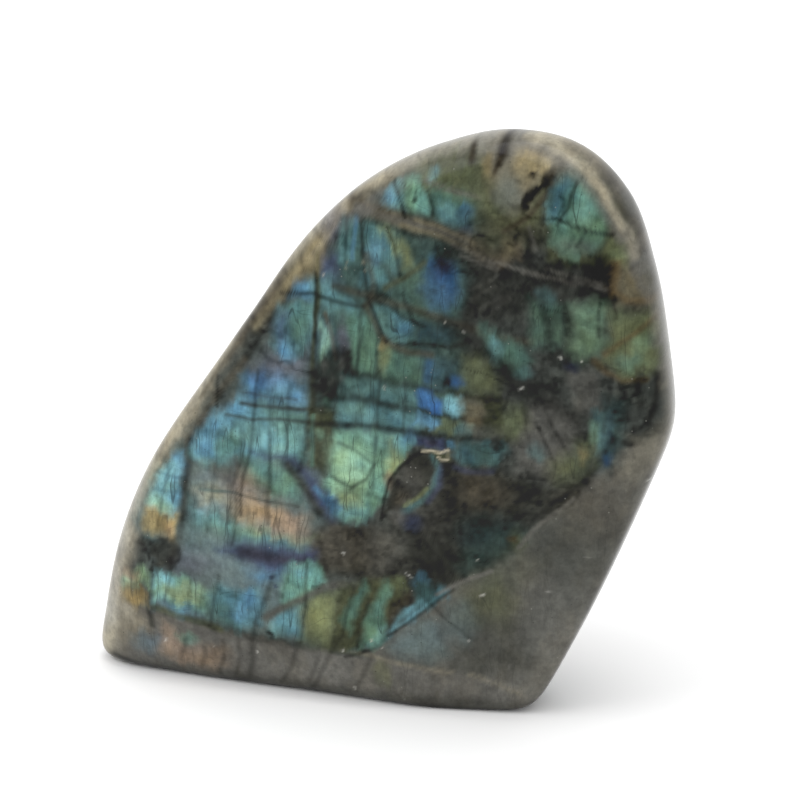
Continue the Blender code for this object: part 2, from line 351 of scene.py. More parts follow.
class FaceMarkings(Paint):
    """The markings of the polished face, read off the photograph, the broad ones first."""

    def mark(self) -> FaceMarkings:
        """Lays all of them.

        Returns:
            The painted face itself.
        """
        self.ground()
        self.facets()
        self.corner_ridge()
        self.left_rim()
        self.left_strip()
        self.big_left_flash()
        self.bands()
        self.low_left()
        self.green_streaks()
        self.left_slope()
        self.green_flash()
        self.upper_left()
        self.centre()
        self.middle_right()
        self.chip()
        self.crown()
        self.brow_flash()
        self.right_side()
        self.right_rim()
        self.fibres()
        self.fine_cracks()
        self.cracks()
        self.weather()
        return self

    def ground(self) -> None:
        """Lays the broad grounds: teal-grey on the left, dark on the right, and the rocky band."""
        self.zone(Hue.MIST, 1, 0.9, 3, (-40, 50), (-28, 62), (-20, 74), (-10, 74), (-8, 60), (-6, 40),
            (-12, 30), (-10, 12), (-46, 14), (-44, 30))
        self.zone(Hue.DUSK, 1, 0.95, 3, (-12, 60), (-11, 88), (-2, 100), (12, 108), (24, 98), (20, 84),
            (24, 66), (22, 58))
        self.zone(Hue.SLATE, 0.8, 0.95, 3, (20, 60), (20, 82), (20, 98), (24, 110), (40, 112), (62, 95),
            (62, 50), (40, 46), (20, 54))
        self.zone(Hue.INK, 1.35, 0.75, 3.5, (20, 93), (25, 97), (31, 98), (37, 95), (44, 95), (47.5, 92),
            (46.5, 88), (40, 89), (36, 88), (33, 86), (29, 84), (24, 81), (19, 80), (18.5, 84), (19, 88))
        self.zone(Hue.ASH, 0.95, 0.97, 2, (17, 54), (24, 52), (30, 53), (38, 50.5), (46, 52), (44, 48),
            (34, 40.5), (24, 31.5), (15, 25), (8, 24), (4, 26), (-2, 28), (-8, 29), (-12, 30), (-10.5, 36),
            (-7, 38.5), (0, 38.8), (4, 39), (8, 40), (14, 46))
        self.spot(Hue.BARK, 1.1, 0.6, 3, 24, 48, 5, 3.4)
        self.spot(Hue.BARK, 0.95, 0.6, 3, -4, 34, 7, 4.5)
        self.spot(Hue.STONE, 1, 0.6, 3, 5, 34, 4, 5)
        self.spot(Hue.STONE, 0.9, 0.5, 2.5, 14, 42, 3, 4)
        self.spot(Hue.TEAL, 0.19, 0.5, 3, 25.5, 38.5, 5.5, 4.5)
        self.spot(Hue.INK, 1.4, 0.4, 3, 33, 44, 5, 3)
        self.spot(Hue.INK, 1.3, 0.35, 3, 30.5, 35.5, 5, 4)
        self.spot(Hue.STONE, 1.1, 0.35, 3, -7, 34, 5, 4)
        self.spot(Hue.MOSS, 0.5, 0.4, 2, 29, 36.5, 3, 1.6)
        self.spot(Hue.INK, 1, 0.5, 3, 14, 33, 3, 6)
        self.spot(Hue.INK, 1, 0.5, 2.5, 18, 46, 2, 3)

    def facets(self) -> None:
        """Lays the corner facet with its painted reflection, and the foot's bevel with painted highlights
        and shade.
        """
        # Painted reflection: the corner facet's grey, lighter than the face, stands for the bright studio
        # seen in it.
        self.zone(Hue.STONE, 1.16, 1, 0.8, (2, 12.2), (15.5, 25.4), (21, 29.6), (26.2, 32.4), (31.1, 37),
            (34.2, 40.8), (41.5, 47.6), (46, 52.6), (48.5, 57), (53, 60.5), (62, 63), (62, 30), (42, -5),
            (2, -5))
        self.quiet(1.5, (2, 12.2), (15, 24.2), (26, 31.4), (34, 40), (46, 51), (62, 63), (62, 30), (42, -5),
            (-62, -5), (-62, 16), (-49.5, 15), (-30, 12.6))
        self.zone(Hue.SLATE, 1.05, 0.45, 4, (24, 36), (40, 48), (50, 40), (36, 8), (30, 12), (32, 24))
        self.zone(Hue.OLIVE, 1.15, 0.45, 3, (20, 28), (30, 35), (36, 34), (28, 22), (20, 20))
        # Painted reflection: a pale seam along the facet's outer edge and a pale cloud on it.
        self.seam(Hue.FOG, 1.25, 0.4, 2.5, (40, 6), (46, 18), (54, 36), (58, 48))
        self.spot(Hue.FOG, 1.15, 0.5, 6, 40, 14, 10, 16)
        self.spot(Hue.BARK, 0.95, 0.35, 5, 46, 46, 7, 8)
        self.spot(Hue.ASH, 1.2, 0.5, 5, 26, 15, 7, 9)
        self.spot(Hue.ASH, 1.1, 0.35, 3, 38, 36, 5, 6)
        self.spot(Hue.FOG, 0.9, 0.4, 3, 33, 30, 5, 5)
        self.zone(Hue.BONE, 0.62, 0.5, 2.5, (53, 62), (58, 64), (60, 58), (54, 52), (50, 53))
        self.zone(Hue.MIST, 1.12, 0.8, 2, (5.5, 14), (12, 20.6), (16, 20), (18, 13), (14, 11.2), (9, 11.8))
        self.zone(Hue.MIST, 0.95, 0.6, 2, (17, 23.5), (22, 25), (24, 20), (21, 15), (17, 18))
        self.spot(Hue.MOSS, 0.6, 0.3, 3, 27, 25, 4, 5)
        self.zone(Hue.FOG, 0.98, 1, 0.7, (-62, 18), (-49.5, 16.2), (-44, 15.8), (-30, 13.6), (-13, 12.2),
            (2, 11.2), (14, 9.6), (24, 8.3), (33, 6), (38, -5), (-62, -5))
        self.spot(Hue.FOG, 1.3, 0.6, 4, 31, 5, 7, 4)
        self.spot(Hue.FOG, 1.35, 0.6, 3, -7, 6, 12, 3)
        self.spot(Hue.BONE, 1.05, 0.6, 3, -51.5, 12.5, 5, 5)
        # Painted reflection: a lighter patch low on the corner facet.
        self.spot(Hue.FOG, 1.3, 0.45, 3.5, 41, 14, 5, 7)
        # Painted shade: a dark band along the bottom edge, where the stone meets the floor.
        self.seam(Hue.ASH, 1, 0.5, 3, (-56, 1.6), (-44, 1.2), (-20, 1.5), (10, 1.8), (36, 1.4))
        self.spot(Hue.BARK, 1.3, 0.4, 2.5, -50, 9, 4, 4)
        self.spot(Hue.BONE, 0.85, 0.6, 2.5, -56, 9, 3, 9)
        self.zone(Hue.PEACH, 1.05, 0.8, 1.5, (-41.5, 12.5), (-38.5, 10.5), (-36, 6), (-39, 4), (-44, 6))
        self.spot(Hue.SEA, 0.85, 0.6, 1, -37, 10.5, 2.2, 1.6)
        self.spot(Hue.PEACH, 0.85, 0.65, 2, -33, 6.5, 4.5, 3)
        self.spot(Hue.AZURE, 0.9, 0.3, 1.8, -46.5, 7.5, 3, 2.5)
        self.zone(Hue.FOG, 1.2, 0.6, 1, (-14, 11), (-3, 10.5), (-4, 3), (-15, 4))
        self.spot(Hue.MOSS, 0.9, 0.35, 1, 4.5, 7, 2, 3)
        # Painted highlights: pale lines along the ridge between the face and the foot's bevel.
        self.seam(Hue.BONE, 0.9, 0.3, 0.9, (-4, 11.9), (2, 11.3), (8, 10.4))
        self.seam(Hue.BONE, 0.85, 0.4, 0.9, (8, 10.6), (14, 9.6), (19, 8.9))
        self.seam(Hue.BONE, 0.85, 0.35, 0.9, (22, 8.6), (27, 7), (31.5, 5.2))
        # Painted shade: a dark line right at the bottom edge, where the stone meets the floor.
        self.seam(Hue.INK, 0.8, 0.8, 1.8, (-56, 2.2), (-48, 0.8), (-36, 0.2), (36, 0))

    def corner_ridge(self) -> None:
        """Lays the corner facet's ridge: its dark line, the pale stripes above it and painted highlights on
        it.
        """
        self.zone(Hue.AQUA, 0.5, 0.75, 0.8, (-2, 13), (4, 17.5), (9, 23), (12.5, 26), (14.5, 25.5), (16, 27),
            (18, 26.5), (13, 22), (7, 17.5), (2, 12.8))
        self.seam(Hue.AQUA, 0.72, 0.45, 0.8, (4, 15.5), (9, 19.5), (14, 24), (18, 27.5))
        self.seam(Hue.AQUA, 0.7, 0.35, 0.8, (7, 20), (11, 23.5), (14, 26))
        self.zone(Hue.TEAL, 0.42, 0.8, 1, (10.5, 29), (13, 29.5), (15, 27), (16, 25), (13.5, 23.5), (11, 25))
        self.spot(Hue.AZURE, 0.5, 0.7, 0.8, 11.8, 29, 1.5, 1.2)
        self.seam(Hue.INK, 1, 0.55, 0.8, (-3, 10.5), (2, 12.4), (8, 18), (14, 23.2), (19, 27.8))
        self.zone(Hue.DUSK, 0.85, 0.6, 2, (19.2, 32.4), (26, 40), (31.3, 41.5), (33.6, 40.6), (30.6, 37.2),
            (25.8, 33.2), (21, 30.8))
        self.spot(Hue.OLIVE, 1.1, 0.6, 1.4, 31.4, 38.4, 1.2, 2)
        self.spot(Hue.UMBER, 1.1, 0.6, 0.6, 30.6, 39, 0.8, 0.6)
        self.seam(Hue.INK, 1.1, 0.5, 1.2, (35, 43.4), (41, 48.9), (44.4, 51.9), (46.8, 55.6))
        # Painted highlights: pale lines along the corner facet's ridge.
        self.seam(Hue.FOG, 1.1, 0.75, 0.8, (15.6, 26), (20.8, 29.8), (26.2, 32.2))
        self.seam(Hue.FOG, 1, 0.6, 0.8, (31.4, 37.4), (34.4, 40.8), (38, 44.2), (42.4, 48.2))
        self.seam(Hue.INK, 1, 0.4, 0.7, (12, 26), (17, 20.5), (22, 16.5))

    def left_rim(self) -> None:
        """Lays the left rim: pale painted reflection outside, streaks along it, a dark line where the face
        begins.
        """
        # Painted reflection: the pale rim stands for the bright studio seen at a grazing angle in the bevel.
        self.zone(Hue.BONE, 1, 0.95, 2, (-70, 0), (-70, 45), (-50, 75), (-30, 102), (-5, 120), (14, 122),
            (27, 121), (26, 116.4), (16, 113.8), (6, 109.4), (-2, 103.8), (-8, 97.2), (-13.6, 91.2),
            (-19, 85.6), (-24.2, 79), (-28.4, 72), (-32, 65.4), (-35.4, 58.6), (-39.3, 51.4), (-42.8, 44.7),
            (-45.7, 38.2), (-48.5, 31.2), (-50.4, 24.2), (-52.4, 17.5), (-54, 11), (-55, 4), (-58, 0))
        # Painted reflection: brighter bands on the outer left bevel and along the top rim.
        self.zone(Hue.FOG, 2.3, 0.7, 2, (-70, 0), (-70, 45), (-46.5, 45), (-49.2, 36), (-51.6, 26),
            (-54.5, 10))
        self.zone(Hue.FOG, 1.7, 0.7, 2.5, (2, 109), (14, 116), (26, 118), (34, 117), (30, 114), (16, 112))
        self.seam(Hue.SAND, 0.62, 0.7, 3, (-10, 95), (-15, 88.6), (-19.6, 82.6), (-23.6, 76.8))
        self.seam(Hue.SAND, 0.9, 0.5, 1.4, (-8, 97.4), (-13, 91.2), (-18, 84.2))
        self.seam(Hue.INK, 1.5, 0.55, 1.3, (-4.4, 100), (-8.6, 94), (-13.2, 87), (-17.6, 81.2),
            (-21.6, 75.6), (-25.6, 69.4))
        self.seam(Hue.BARK, 1, 0.5, 1.6, (-25.6, 69.4), (-30, 62.8), (-34.5, 56.2), (-38, 51))
        self.seam(Hue.BARK, 0.8, 0.6, 3.4, (-18.5, 86.6), (-24, 79), (-28, 73))
        self.seam(Hue.BARK, 1, 0.5, 1, (-19, 85), (-24.4, 77.2), (-29.9, 68.8), (-35.4, 60.2))
        self.seam(Hue.BARK, 1, 0.35, 0.9, (-40.6, 51), (-44.6, 43.6), (-47.6, 36), (-50, 28))

    def left_strip(self) -> None:
        """Lays the bright strip at the left edge, blue above and gold below, and the dark gap beside it."""
        self.zone(Hue.TEAL, 0.6, 0.6, 1.6, (-38.5, 50), (-44, 46), (-47.5, 39), (-50, 33), (-46, 31),
            (-39, 34))
        self.zone(Hue.AZURE, 1.35, 0.97, 0.8, (-37.9, 49), (-40.1, 47.6), (-42.1, 45.4), (-43.9, 41.2),
            (-44.9, 37.2), (-38.8, 37.2), (-38.3, 41.7), (-37.6, 46))
        self.zone(Hue.AQUA, 1.35, 0.9, 1.8, (-41, 46), (-43.7, 41), (-45, 37), (-40.5, 37), (-40, 42))
        self.spot(Hue.MINT, 1.45, 0.75, 1.4, -43, 37.8, 2.8, 1.4)
        self.zone(Hue.GOLD, 1.12, 0.97, 1, (-46.8, 36), (-44.7, 37), (-38.8, 36.8), (-39.5, 31.5),
            (-42, 32.2), (-44.7, 32.2), (-47.2, 32.3))
        self.spot(Hue.PEACH, 1.05, 0.6, 1.2, -40.8, 34, 1.2, 2)
        self.seam(Hue.INK, 1.2, 0.75, 1.7, (-36.4, 52), (-36.8, 47.6), (-37.4, 43))
        self.seam(Hue.ASH, 1.2, 0.85, 1.7, (-37.4, 43), (-38, 37.2), (-38.6, 31.5), (-39.5, 27))

    def big_left_flash(self) -> None:
        """Lays the big teal field of the left, the blue one above it and the haze under it."""
        self.zone(Hue.TEAL, 1.06, 0.9, 1, (-36, 50), (-34.5, 54.5), (-30.5, 58.5), (-26, 61), (-20, 62),
            (-11.5, 61.5), (-11.5, 56), (-12, 50.5), (-16, 50.5), (-22, 50), (-27, 49), (-33, 47))
        self.zone(Hue.AZURE, 1.12, 0.85, 1.6, (-35, 52), (-33, 56), (-28, 60.5), (-24, 62), (-24, 58),
            (-29, 56), (-31, 52), (-32, 48.5))
        self.spot(Hue.AQUA, 1, 0.5, 2.4, -25, 57.5, 4.5, 3)
        self.spot(Hue.AQUA, 0.98, 0.6, 2.4, -18, 54.5, 5, 4)
        self.spot(Hue.SEA, 1.15, 0.6, 2.4, -14.5, 54.5, 3, 3.5)
        self.spot(Hue.SEA, 1.05, 0.6, 1.6, -29, 52.3, 3, 2.4)
        self.zone(Hue.AZURE, 0.98, 0.92, 1.3, (-26, 61.5), (-25.5, 66), (-21, 68.3), (-15.5, 68), (-13, 66),
            (-12.5, 61.5))
        self.spot(Hue.COBALT, 1.5, 0.45, 1.5, -22.5, 65, 2.4, 2.2)
        self.zone(Hue.MIST, 1.3, 0.6, 2, (-34, 47), (-27, 49), (-24, 47), (-24, 44), (-31, 43.5),
            (-36, 42.5))
        self.spot(Hue.SLATE, 1.1, 0.6, 1, -25.5, 48.5, 2.2, 1.8)
        self.seam(Hue.SLATE, 0.7, 0.8, 1, (-25.5, 60.8), (-20, 60.6), (-13, 61), (-9, 61.5))
        self.seam(Hue.SLATE, 0.75, 0.7, 0.8, (-29, 58), (-24, 57.6), (-16, 58.4), (-9, 58.3))
        self.seam(Hue.SLATE, 0.8, 0.5, 0.7, (-25, 63.2), (-19, 62.8), (-14, 63.2))

    def bands(self) -> None:
        """Lays the field under the big flash: green above, an orange band, teal and violet below."""
        self.zone(Hue.SEA, 0.95, 0.85, 1.5, (-24.5, 49), (-20, 50), (-15, 49), (-12.5, 46), (-13, 41.5),
            (-20, 41.8), (-24.5, 43))
        self.zone(Hue.TEAL, 0.75, 0.55, 1.5, (-24, 50), (-17, 50), (-15, 47.5), (-20, 46.5))
        self.zone(Hue.TEAL, 1.05, 0.8, 1.6, (-36, 40), (-30, 38.5), (-24.7, 36.5), (-19, 35), (-13.8, 34.6),
            (-12.5, 32.5), (-20, 31), (-28, 30.5), (-36, 31))
        self.spot(Hue.SEA, 1.2, 0.6, 1.8, -28, 35.5, 5, 2)
        self.spot(Hue.LIME, 0.9, 0.5, 1.2, -18.5, 35, 5.5, 0.9)
        self.spot(Hue.LIME, 0.85, 0.5, 1.2, -28, 38, 4, 0.8)
        self.zone(Hue.PEACH, 1.15, 0.85, 1.9, (-34.5, 42.3), (-30, 45.4), (-24, 46.4), (-21, 43.6),
            (-16, 41), (-12.1, 40.2), (-11.8, 37.2), (-13.8, 35), (-19, 35.8), (-24.7, 37), (-30.4, 38.8),
            (-34.3, 40))
        self.zone(Hue.GOLD, 0.98, 0.35, 1.8, (-33, 41), (-27, 41.8), (-20, 40), (-18, 38.5), (-24, 38.4),
            (-30, 39.8))
        self.spot(Hue.PLUM, 2, 0.5, 1.4, -31, 45, 3.5, 1.4)
        self.zone(Hue.MIST, 0.8, 0.7, 1.4, (-24, 43), (-13, 42.5), (-12, 40), (-14, 39.5), (-20, 41))
        self.seam(Hue.SLATE, 0.8, 0.65, 0.6, (-34.4, 42.3), (-27.6, 42.3), (-19, 41.7), (-13.5, 41.4))
        self.spot(Hue.MIST, 1.5, 0.8, 2.5, -32, 31, 6, 4)
        self.spot(Hue.TEAL, 1.3, 0.35, 3, -31, 40.5, 4, 5)
        self.spot(Hue.MIST, 1.3, 0.35, 3, -20.5, 25, 3.5, 3)
        self.zone(Hue.INDIGO, 1.05, 0.85, 1.2, (-31, 30.6), (-25, 32.6), (-15, 32.8), (-9.5, 32),
            (-11, 27.6), (-20, 26.8), (-25, 28.3))
        self.seam(Hue.PLUM, 0.6, 0.8, 2.6, (-25, 30.4), (-20, 29.6), (-12, 29.6))
        self.zone(Hue.AZURE, 0.85, 0.8, 1.6, (-25, 27.2), (-20, 27.6), (-16.5, 27.5), (-17, 25), (-21, 24),
            (-24, 25.5))
        self.spot(Hue.MIST, 1.4, 0.7, 2.2, -27.5, 25.6, 4.5, 3)
        self.spot(Hue.PLUM, 1.7, 0.5, 2.5, -36, 27, 5, 2.2)
        self.zone(Hue.INDIGO, 1.15, 0.85, 1.2, (-23.5, 51.6), (-19, 51.6), (-14.4, 51.2), (-11.4, 48.3),
            (-9, 45), (-6.8, 42.5), (-4.7, 40), (-6.5, 38.8), (-9.4, 41.5), (-11.8, 45), (-14.4, 48.6),
            (-18, 50))
        self.seam(Hue.ASH, 1, 0.85, 1.9, (-15.5, 49.4), (-12.8, 46.4), (-10.8, 43.3), (-9, 40.6))
        self.seam(Hue.AZURE, 0.75, 0.7, 1.1, (-9.8, 45.4), (-7.6, 42.8), (-5.6, 40.8))

    def low_left(self) -> None:
        """Lays the flashes and dark inclusions low on the left."""
        self.zone(Hue.ASH, 0.8, 0.9, 1.2, (-45, 30), (-40, 31.5), (-38.6, 29), (-39.5, 26), (-41.5, 24.5),
            (-43, 25.5), (-45, 27))
        self.spot(Hue.ASH, 1, 0.7, 0.8, -47, 29.8, 1.4, 1.2)
        for x, z, wide, high in (
            (-46.4, 28, 0.8, 0.5), (-45.2, 26.4, 0.6, 0.9), (-43.6, 25, 0.9, 1.2), (-40.6, 25.6, 0.7, 1.6),
            (-39, 27.4, 0.5, 1.5), (-42.4, 30.8, 1.3, 0.5), (-48.6, 29.4, 0.5, 0.3), (-44.4, 23.6, 0.5, 1),
        ):
            self.spot(Hue.INK, 1.2, 0.7, 0.5, x, z, wide, high)
        self.seam(Hue.ASH, 1, 0.8, 1.5, (-42, 26), (-44.4, 22), (-44.8, 18), (-44.5, 12))
        self.zone(Hue.MINT, 0.95, 0.9, 0.9, (-49.8, 22.3), (-46.3, 24.6), (-44.9, 23.6), (-45, 21),
            (-47.5, 20.4), (-51.2, 19.3), (-52, 20.4))
        self.spot(Hue.PEACH, 1.15, 0.8, 1.2, -49.3, 21.8, 2, 1.2)
        self.spot(Hue.GOLD, 0.72, 0.8, 1.4, -48.6, 17.7, 3.2, 2)
        self.zone(Hue.SEA, 1.2, 0.95, 0.8, (-43.8, 20), (-43.5, 22.4), (-42.3, 23.9), (-39.5, 24.2),
            (-36, 23.1), (-33.8, 21.9), (-31.7, 21.3), (-31.5, 18.4), (-32, 16.9), (-36, 16.8), (-39.5, 17),
            (-42.9, 18.1))
        self.spot(Hue.AQUA, 1, 0.75, 1.2, -41.8, 22.6, 2, 1.5)
        self.spot(Hue.AQUA, 0.85, 0.7, 1.2, -42, 18.9, 1.8, 1.2)
        self.spot(Hue.LIME, 1.1, 0.85, 1.8, -36.8, 20.2, 4, 2)
        self.spot(Hue.AZURE, 0.9, 0.7, 1.3, -38, 16.9, 4, 1.2)
        self.zone(Hue.TEAL, 0.74, 0.92, 1.1, (-31.5, 20.5), (-29.2, 21.8), (-24.6, 22), (-21.2, 23),
            (-20.3, 20.5), (-21.5, 16), (-22.9, 14.4), (-25.7, 13.8), (-28.6, 14.2), (-31.4, 15.5))
        self.zone(Hue.AZURE, 0.84, 0.85, 1.3, (-27.4, 20.6), (-23, 22.4), (-20.8, 21), (-21.6, 16.6),
            (-24.6, 15.2), (-27, 17))
        self.spot(Hue.TEAL, 0.95, 0.7, 1.8, -28.5, 20.8, 2.8, 1.6)
        self.seam(Hue.ASH, 1.1, 0.55, 2.2, (-31, 13.6), (-21, 12.7), (-12, 12.4), (-3, 12.2))
        self.seam(Hue.OLIVE, 0.9, 0.7, 1.5, (-43.5, 16.2), (-38.5, 15), (-33, 14.4), (-30, 13.4))
        self.zone(Hue.SEA, 1.25, 0.92, 0.8, (-15.6, 27), (-13.7, 29), (-10.9, 30), (-8, 28.5), (-7.6, 26),
            (-9.7, 23.7), (-13.2, 20.6), (-16, 20), (-16.6, 23.4))
        self.spot(Hue.TEAL, 1.05, 0.8, 1.2, -13.2, 28.2, 2, 1.3)
        self.spot(Hue.MIST, 1.1, 0.7, 1.4, -18, 22.5, 1.8, 3)
        self.zone(Hue.TEAL, 0.97, 0.9, 0.9, (-18.9, 16.8), (-15.4, 18.8), (-12, 20.3), (-11.8, 14.2),
            (-15, 13.6), (-18.9, 14.4))
        self.zone(Hue.MOSS, 1.15, 0.8, 1.6, (-12, 22), (-8, 24), (-4.5, 24.6), (-4.6, 18), (-6.2, 13.2),
            (-9, 12.8), (-12, 13.4))
        self.spot(Hue.LIME, 0.9, 0.6, 1.4, -8.7, 19, 1.8, 2.6)
        self.seam(Hue.STONE, 0.95, 0.85, 1.5, (-19.8, 17.6), (-13.2, 21.7), (-7.4, 24.9), (-3.5, 26))
        self.spot(Hue.INK, 1, 0.85, 0.5, -18.9, 13.9, 0.8, 0.7)
        self.spot(Hue.INDIGO, 0.5, 0.8, 0.4, -18.2, 26, 0.6, 0.5)
        self.spot(Hue.INDIGO, 0.5, 0.8, 0.4, -17.3, 23.8, 0.5, 0.5)

    def green_streaks(self) -> None:
        """Lays the slanting green streaks low in the middle."""
        self.zone(Hue.OLIVE, 0.85, 0.9, 1.2, (-4.5, 25), (2, 28), (8, 28.5), (9, 24), (3, 15), (0, 12.5),
            (-6, 12.5))
        self.zone(Hue.SEA, 0.8, 0.9, 0.7, (0, 13), (1, 19), (3.5, 25), (5.5, 28), (6.3, 27), (4.8, 22),
            (4.5, 15), (3, 12.8))
        self.zone(Hue.TEAL, 0.95, 0.85, 0.6, (1.5, 13), (3.6, 18.5), (4.6, 18.5), (3.6, 13))
        self.zone(Hue.SEA, 0.8, 0.8, 0.7, (-3.6, 18), (-1.6, 23.5), (0.8, 27), (1.2, 25.5), (-0.6, 20),
            (-2.2, 16))
        self.spot(Hue.MOSS, 0.95, 0.7, 0.9, 7.6, 27.4, 1.6, 1.2)
        self.zone(Hue.BARK, 0.6, 0.8, 0.9, (5, 20), (7, 24.5), (10, 26.5), (10.5, 24), (8, 21), (5.4, 17))
        self.crack(0.5, (-1.2, 26), (-2.6, 21), (-3.8, 15))
        self.crack(0.5, (2, 24), (0, 18), (-0.6, 13))

    def left_slope(self) -> None:
        """Lays the markings along the left slope, down to the dark speckled mass."""
        self.zone(Hue.PLUM, 2, 0.5, 2.5, (-24, 68), (-20, 72), (-12, 72), (-12, 68), (-20, 66))
        self.zone(Hue.TEAL, 0.85, 0.9, 1, (-19.5, 77.5), (-18.4, 80.9), (-15.5, 82.3), (-11.2, 82.2),
            (-11, 76.2), (-12.2, 73.9), (-14.3, 72), (-17.2, 71.7), (-19.5, 73.6))
        self.spot(Hue.SEA, 1.1, 0.8, 1.6, -13, 78.5, 2, 3.4)
        self.zone(Hue.INDIGO, 1.7, 0.6, 1.4, (-19.4, 77), (-18, 80), (-16.5, 80), (-16.5, 75), (-18, 72.5))
        self.spot(Hue.AZURE, 1, 0.9, 1.2, -16.2, 72.8, 1.5, 2)
        self.zone(Hue.AZURE, 0.98, 0.9, 0.9, (-16.4, 83.6), (-15, 86), (-12, 86.8), (-11, 84.5), (-11.2, 83))
        self.zone(Hue.INDIGO, 1.3, 0.65, 1.4, (-10.8, 92), (-6.8, 92.5), (-6, 86.5), (-10.5, 86))
        self.zone(Hue.TEAL, 0.85, 0.8, 0.9, (-7.8, 84.5), (-4, 84.2), (-2.4, 82.6), (-3.4, 80.8),
            (-7.2, 81.2))
        self.zone(Hue.SEA, 0.72, 0.85, 1.2, (-4.8, 81), (-1, 82), (1.4, 80), (2, 75), (2, 69.5), (-3, 69.5),
            (-4.4, 73))
        self.zone(Hue.MINT, 0.9, 0.85, 0.6, (-9.2, 79.7), (-7.5, 78.2), (-6.9, 75), (-9.2, 70.9),
            (-9.9, 75.2))
        self.seam(Hue.BARK, 1.3, 0.7, 0.9, (-8.6, 80.5), (-7, 76), (-6.1, 71.5))
        self.spot(Hue.PLUM, 1.7, 0.7, 0.9, -4.9, 75.8, 1.1, 3.6)
        self.spot(Hue.INK, 1, 0.7, 0.4, -4, 73.5, 0.5, 0.5)
        self.spot(Hue.TEAL, 1.05, 0.55, 2, -9.5, 85.5, 3.2, 2.6)
        self.spot(Hue.AZURE, 1.25, 0.3, 2.5, -10, 76, 3, 3.5)
        self.spot(Hue.INDIGO, 1.6, 0.35, 2.5, -9, 98, 3, 3)
        self.seam(Hue.OLIVE, 0.7, 0.8, 1.1, (-10.8, 92), (-10.4, 84), (-10.7, 76), (-11, 68), (-11.2, 60))
        self.zone(Hue.INK, 1.6, 0.8, 1.5, (-11.7, 69.5), (-10.1, 70.9), (-8.1, 71.8), (-6.7, 74.2),
            (-4.2, 73.8), (-2.9, 71.5), (-2.2, 68.3), (-3, 65.5), (-5, 64.5), (-7.9, 63.4), (-10.4, 64),
            (-11.5, 66.3))
        for x, z, wide, high in (
            (-8.6, 70.2, 0.5, 1.2), (-6.9, 67.2, 0.7, 0.5), (-5.1, 71, 0.5, 1), (-9.6, 66.9, 0.4, 0.9),
            (-4.6, 67.6, 0.5, 0.6), (-7.4, 64.8, 0.9, 0.5),
        ):
            self.spot(Hue.STONE, 0.9, 0.45, 0.6, x, z, wide, high)
        self.seam(Hue.SEA, 0.75, 0.5, 1.1, (-8.4, 63.6), (-7.9, 59.5), (-7.6, 56))
        self.seam(Hue.SEA, 0.8, 0.5, 1.2, (-5.3, 64), (-4.6, 60.4), (-4.4, 57.5))
        self.seam(Hue.INK, 1.3, 0.6, 1.3, (-10.8, 63.5), (-11.3, 59), (-11.8, 52.9), (-12.9, 48.7))
        self.seam(Hue.INK, 1.3, 0.5, 1.1, (-8.1, 64.2), (-6.8, 58.7), (-5.9, 55.5), (-5.8, 51))
        self.seam(Hue.INK, 1.3, 0.55, 1.2, (-9.6, 63.6), (-8.8, 57.2), (-9.7, 50))
        self.seam(Hue.INK, 1.3, 0.5, 1.2, (-9.4, 76.9), (-9.8, 73.3), (-9.9, 69.7))
        self.seam(Hue.INK, 1.3, 0.6, 1.3, (-4.2, 73.8), (-2.9, 69.5), (-3, 65.9), (-1.7, 63.6))
        for x, z, wide, high in (
            (-3.6, 72.6, 0.9, 1.5), (-2.8, 69.2, 1, 1.7), (-2.3, 65.8, 0.8, 1.2), (-4.4, 63.2, 1.2, 1),
            (-10.4, 65.6, 0.9, 1.3), (-8, 61.2, 0.8, 2.4), (-6.4, 59.8, 0.6, 1.6), (-9.8, 60, 0.4, 1.8),
            (-11.2, 68.6, 0.6, 0.8), (-5, 60.6, 0.3, 1.6),
        ):
            self.spot(Hue.INK, 1.3, 0.72, 0.6, x, z, wide, high)
        self.zone(Hue.OLIVE, 0.85, 0.85, 1.2, (-11.6, 61.5), (-5.5, 61.5), (-5.6, 57), (-6.6, 52),
            (-8.5, 48), (-11.8, 50))
        self.spot(Hue.MINT, 0.85, 0.6, 0.7, -9.3, 55.5, 1, 1.2)
        self.seam(Hue.SEA, 0.9, 0.6, 0.7, (-10.8, 60), (-10.4, 54), (-10.2, 50))

    def green_flash(self) -> None:
        """Lays the brightest flash, green with a blue foot, and the flashes over it."""
        self.zone(Hue.TEAL, 0.8, 0.9, 1, (-5.5, 63.8), (1.3, 63.5), (7.4, 63), (11, 62.5), (11, 59), (5, 59),
            (-5.5, 58.8))
        self.zone(Hue.TEAL, 0.66, 0.8, 1.1, (-4, 68.4), (1.3, 68), (10.4, 67.4), (10.8, 64), (1.3, 64.6),
            (-4.5, 65))
        self.zone(Hue.SEA, 1.12, 0.97, 0.7, (-6.2, 58), (0, 58.2), (7.4, 58), (11, 56.5), (8, 54),
            (6.5, 50.5), (4.6, 47.5), (3.4, 43.5), (2, 40.5), (-3.5, 39.2), (-5.8, 40.5), (-7.4, 43),
            (-8, 46), (-7, 49), (-6.2, 53))
        self.zone(Hue.MINT, 1.22, 0.9, 2, (-6, 55), (-1, 53.5), (1.5, 50.5), (0.5, 47), (-2, 45),
            (-6.5, 46.5))
        self.zone(Hue.TEAL, 1.05, 0.6, 1.8, (-2, 58), (7, 58), (8, 55), (2, 54.5))
        self.spot(Hue.AZURE, 0.95, 0.8, 1.4, 9.3, 57, 2, 1.4)
        self.zone(Hue.LIME, 0.92, 0.85, 1, (5, 57), (6.4, 54), (8, 53), (6.2, 50.4), (5, 49), (4.6, 53))
        self.spot(Hue.PEACH, 0.9, 0.7, 0.8, 5.2, 48.8, 0.9, 1.8)
        self.spot(Hue.LIME, 1.05, 0.6, 1.6, -3.2, 44.2, 2.6, 1.8)
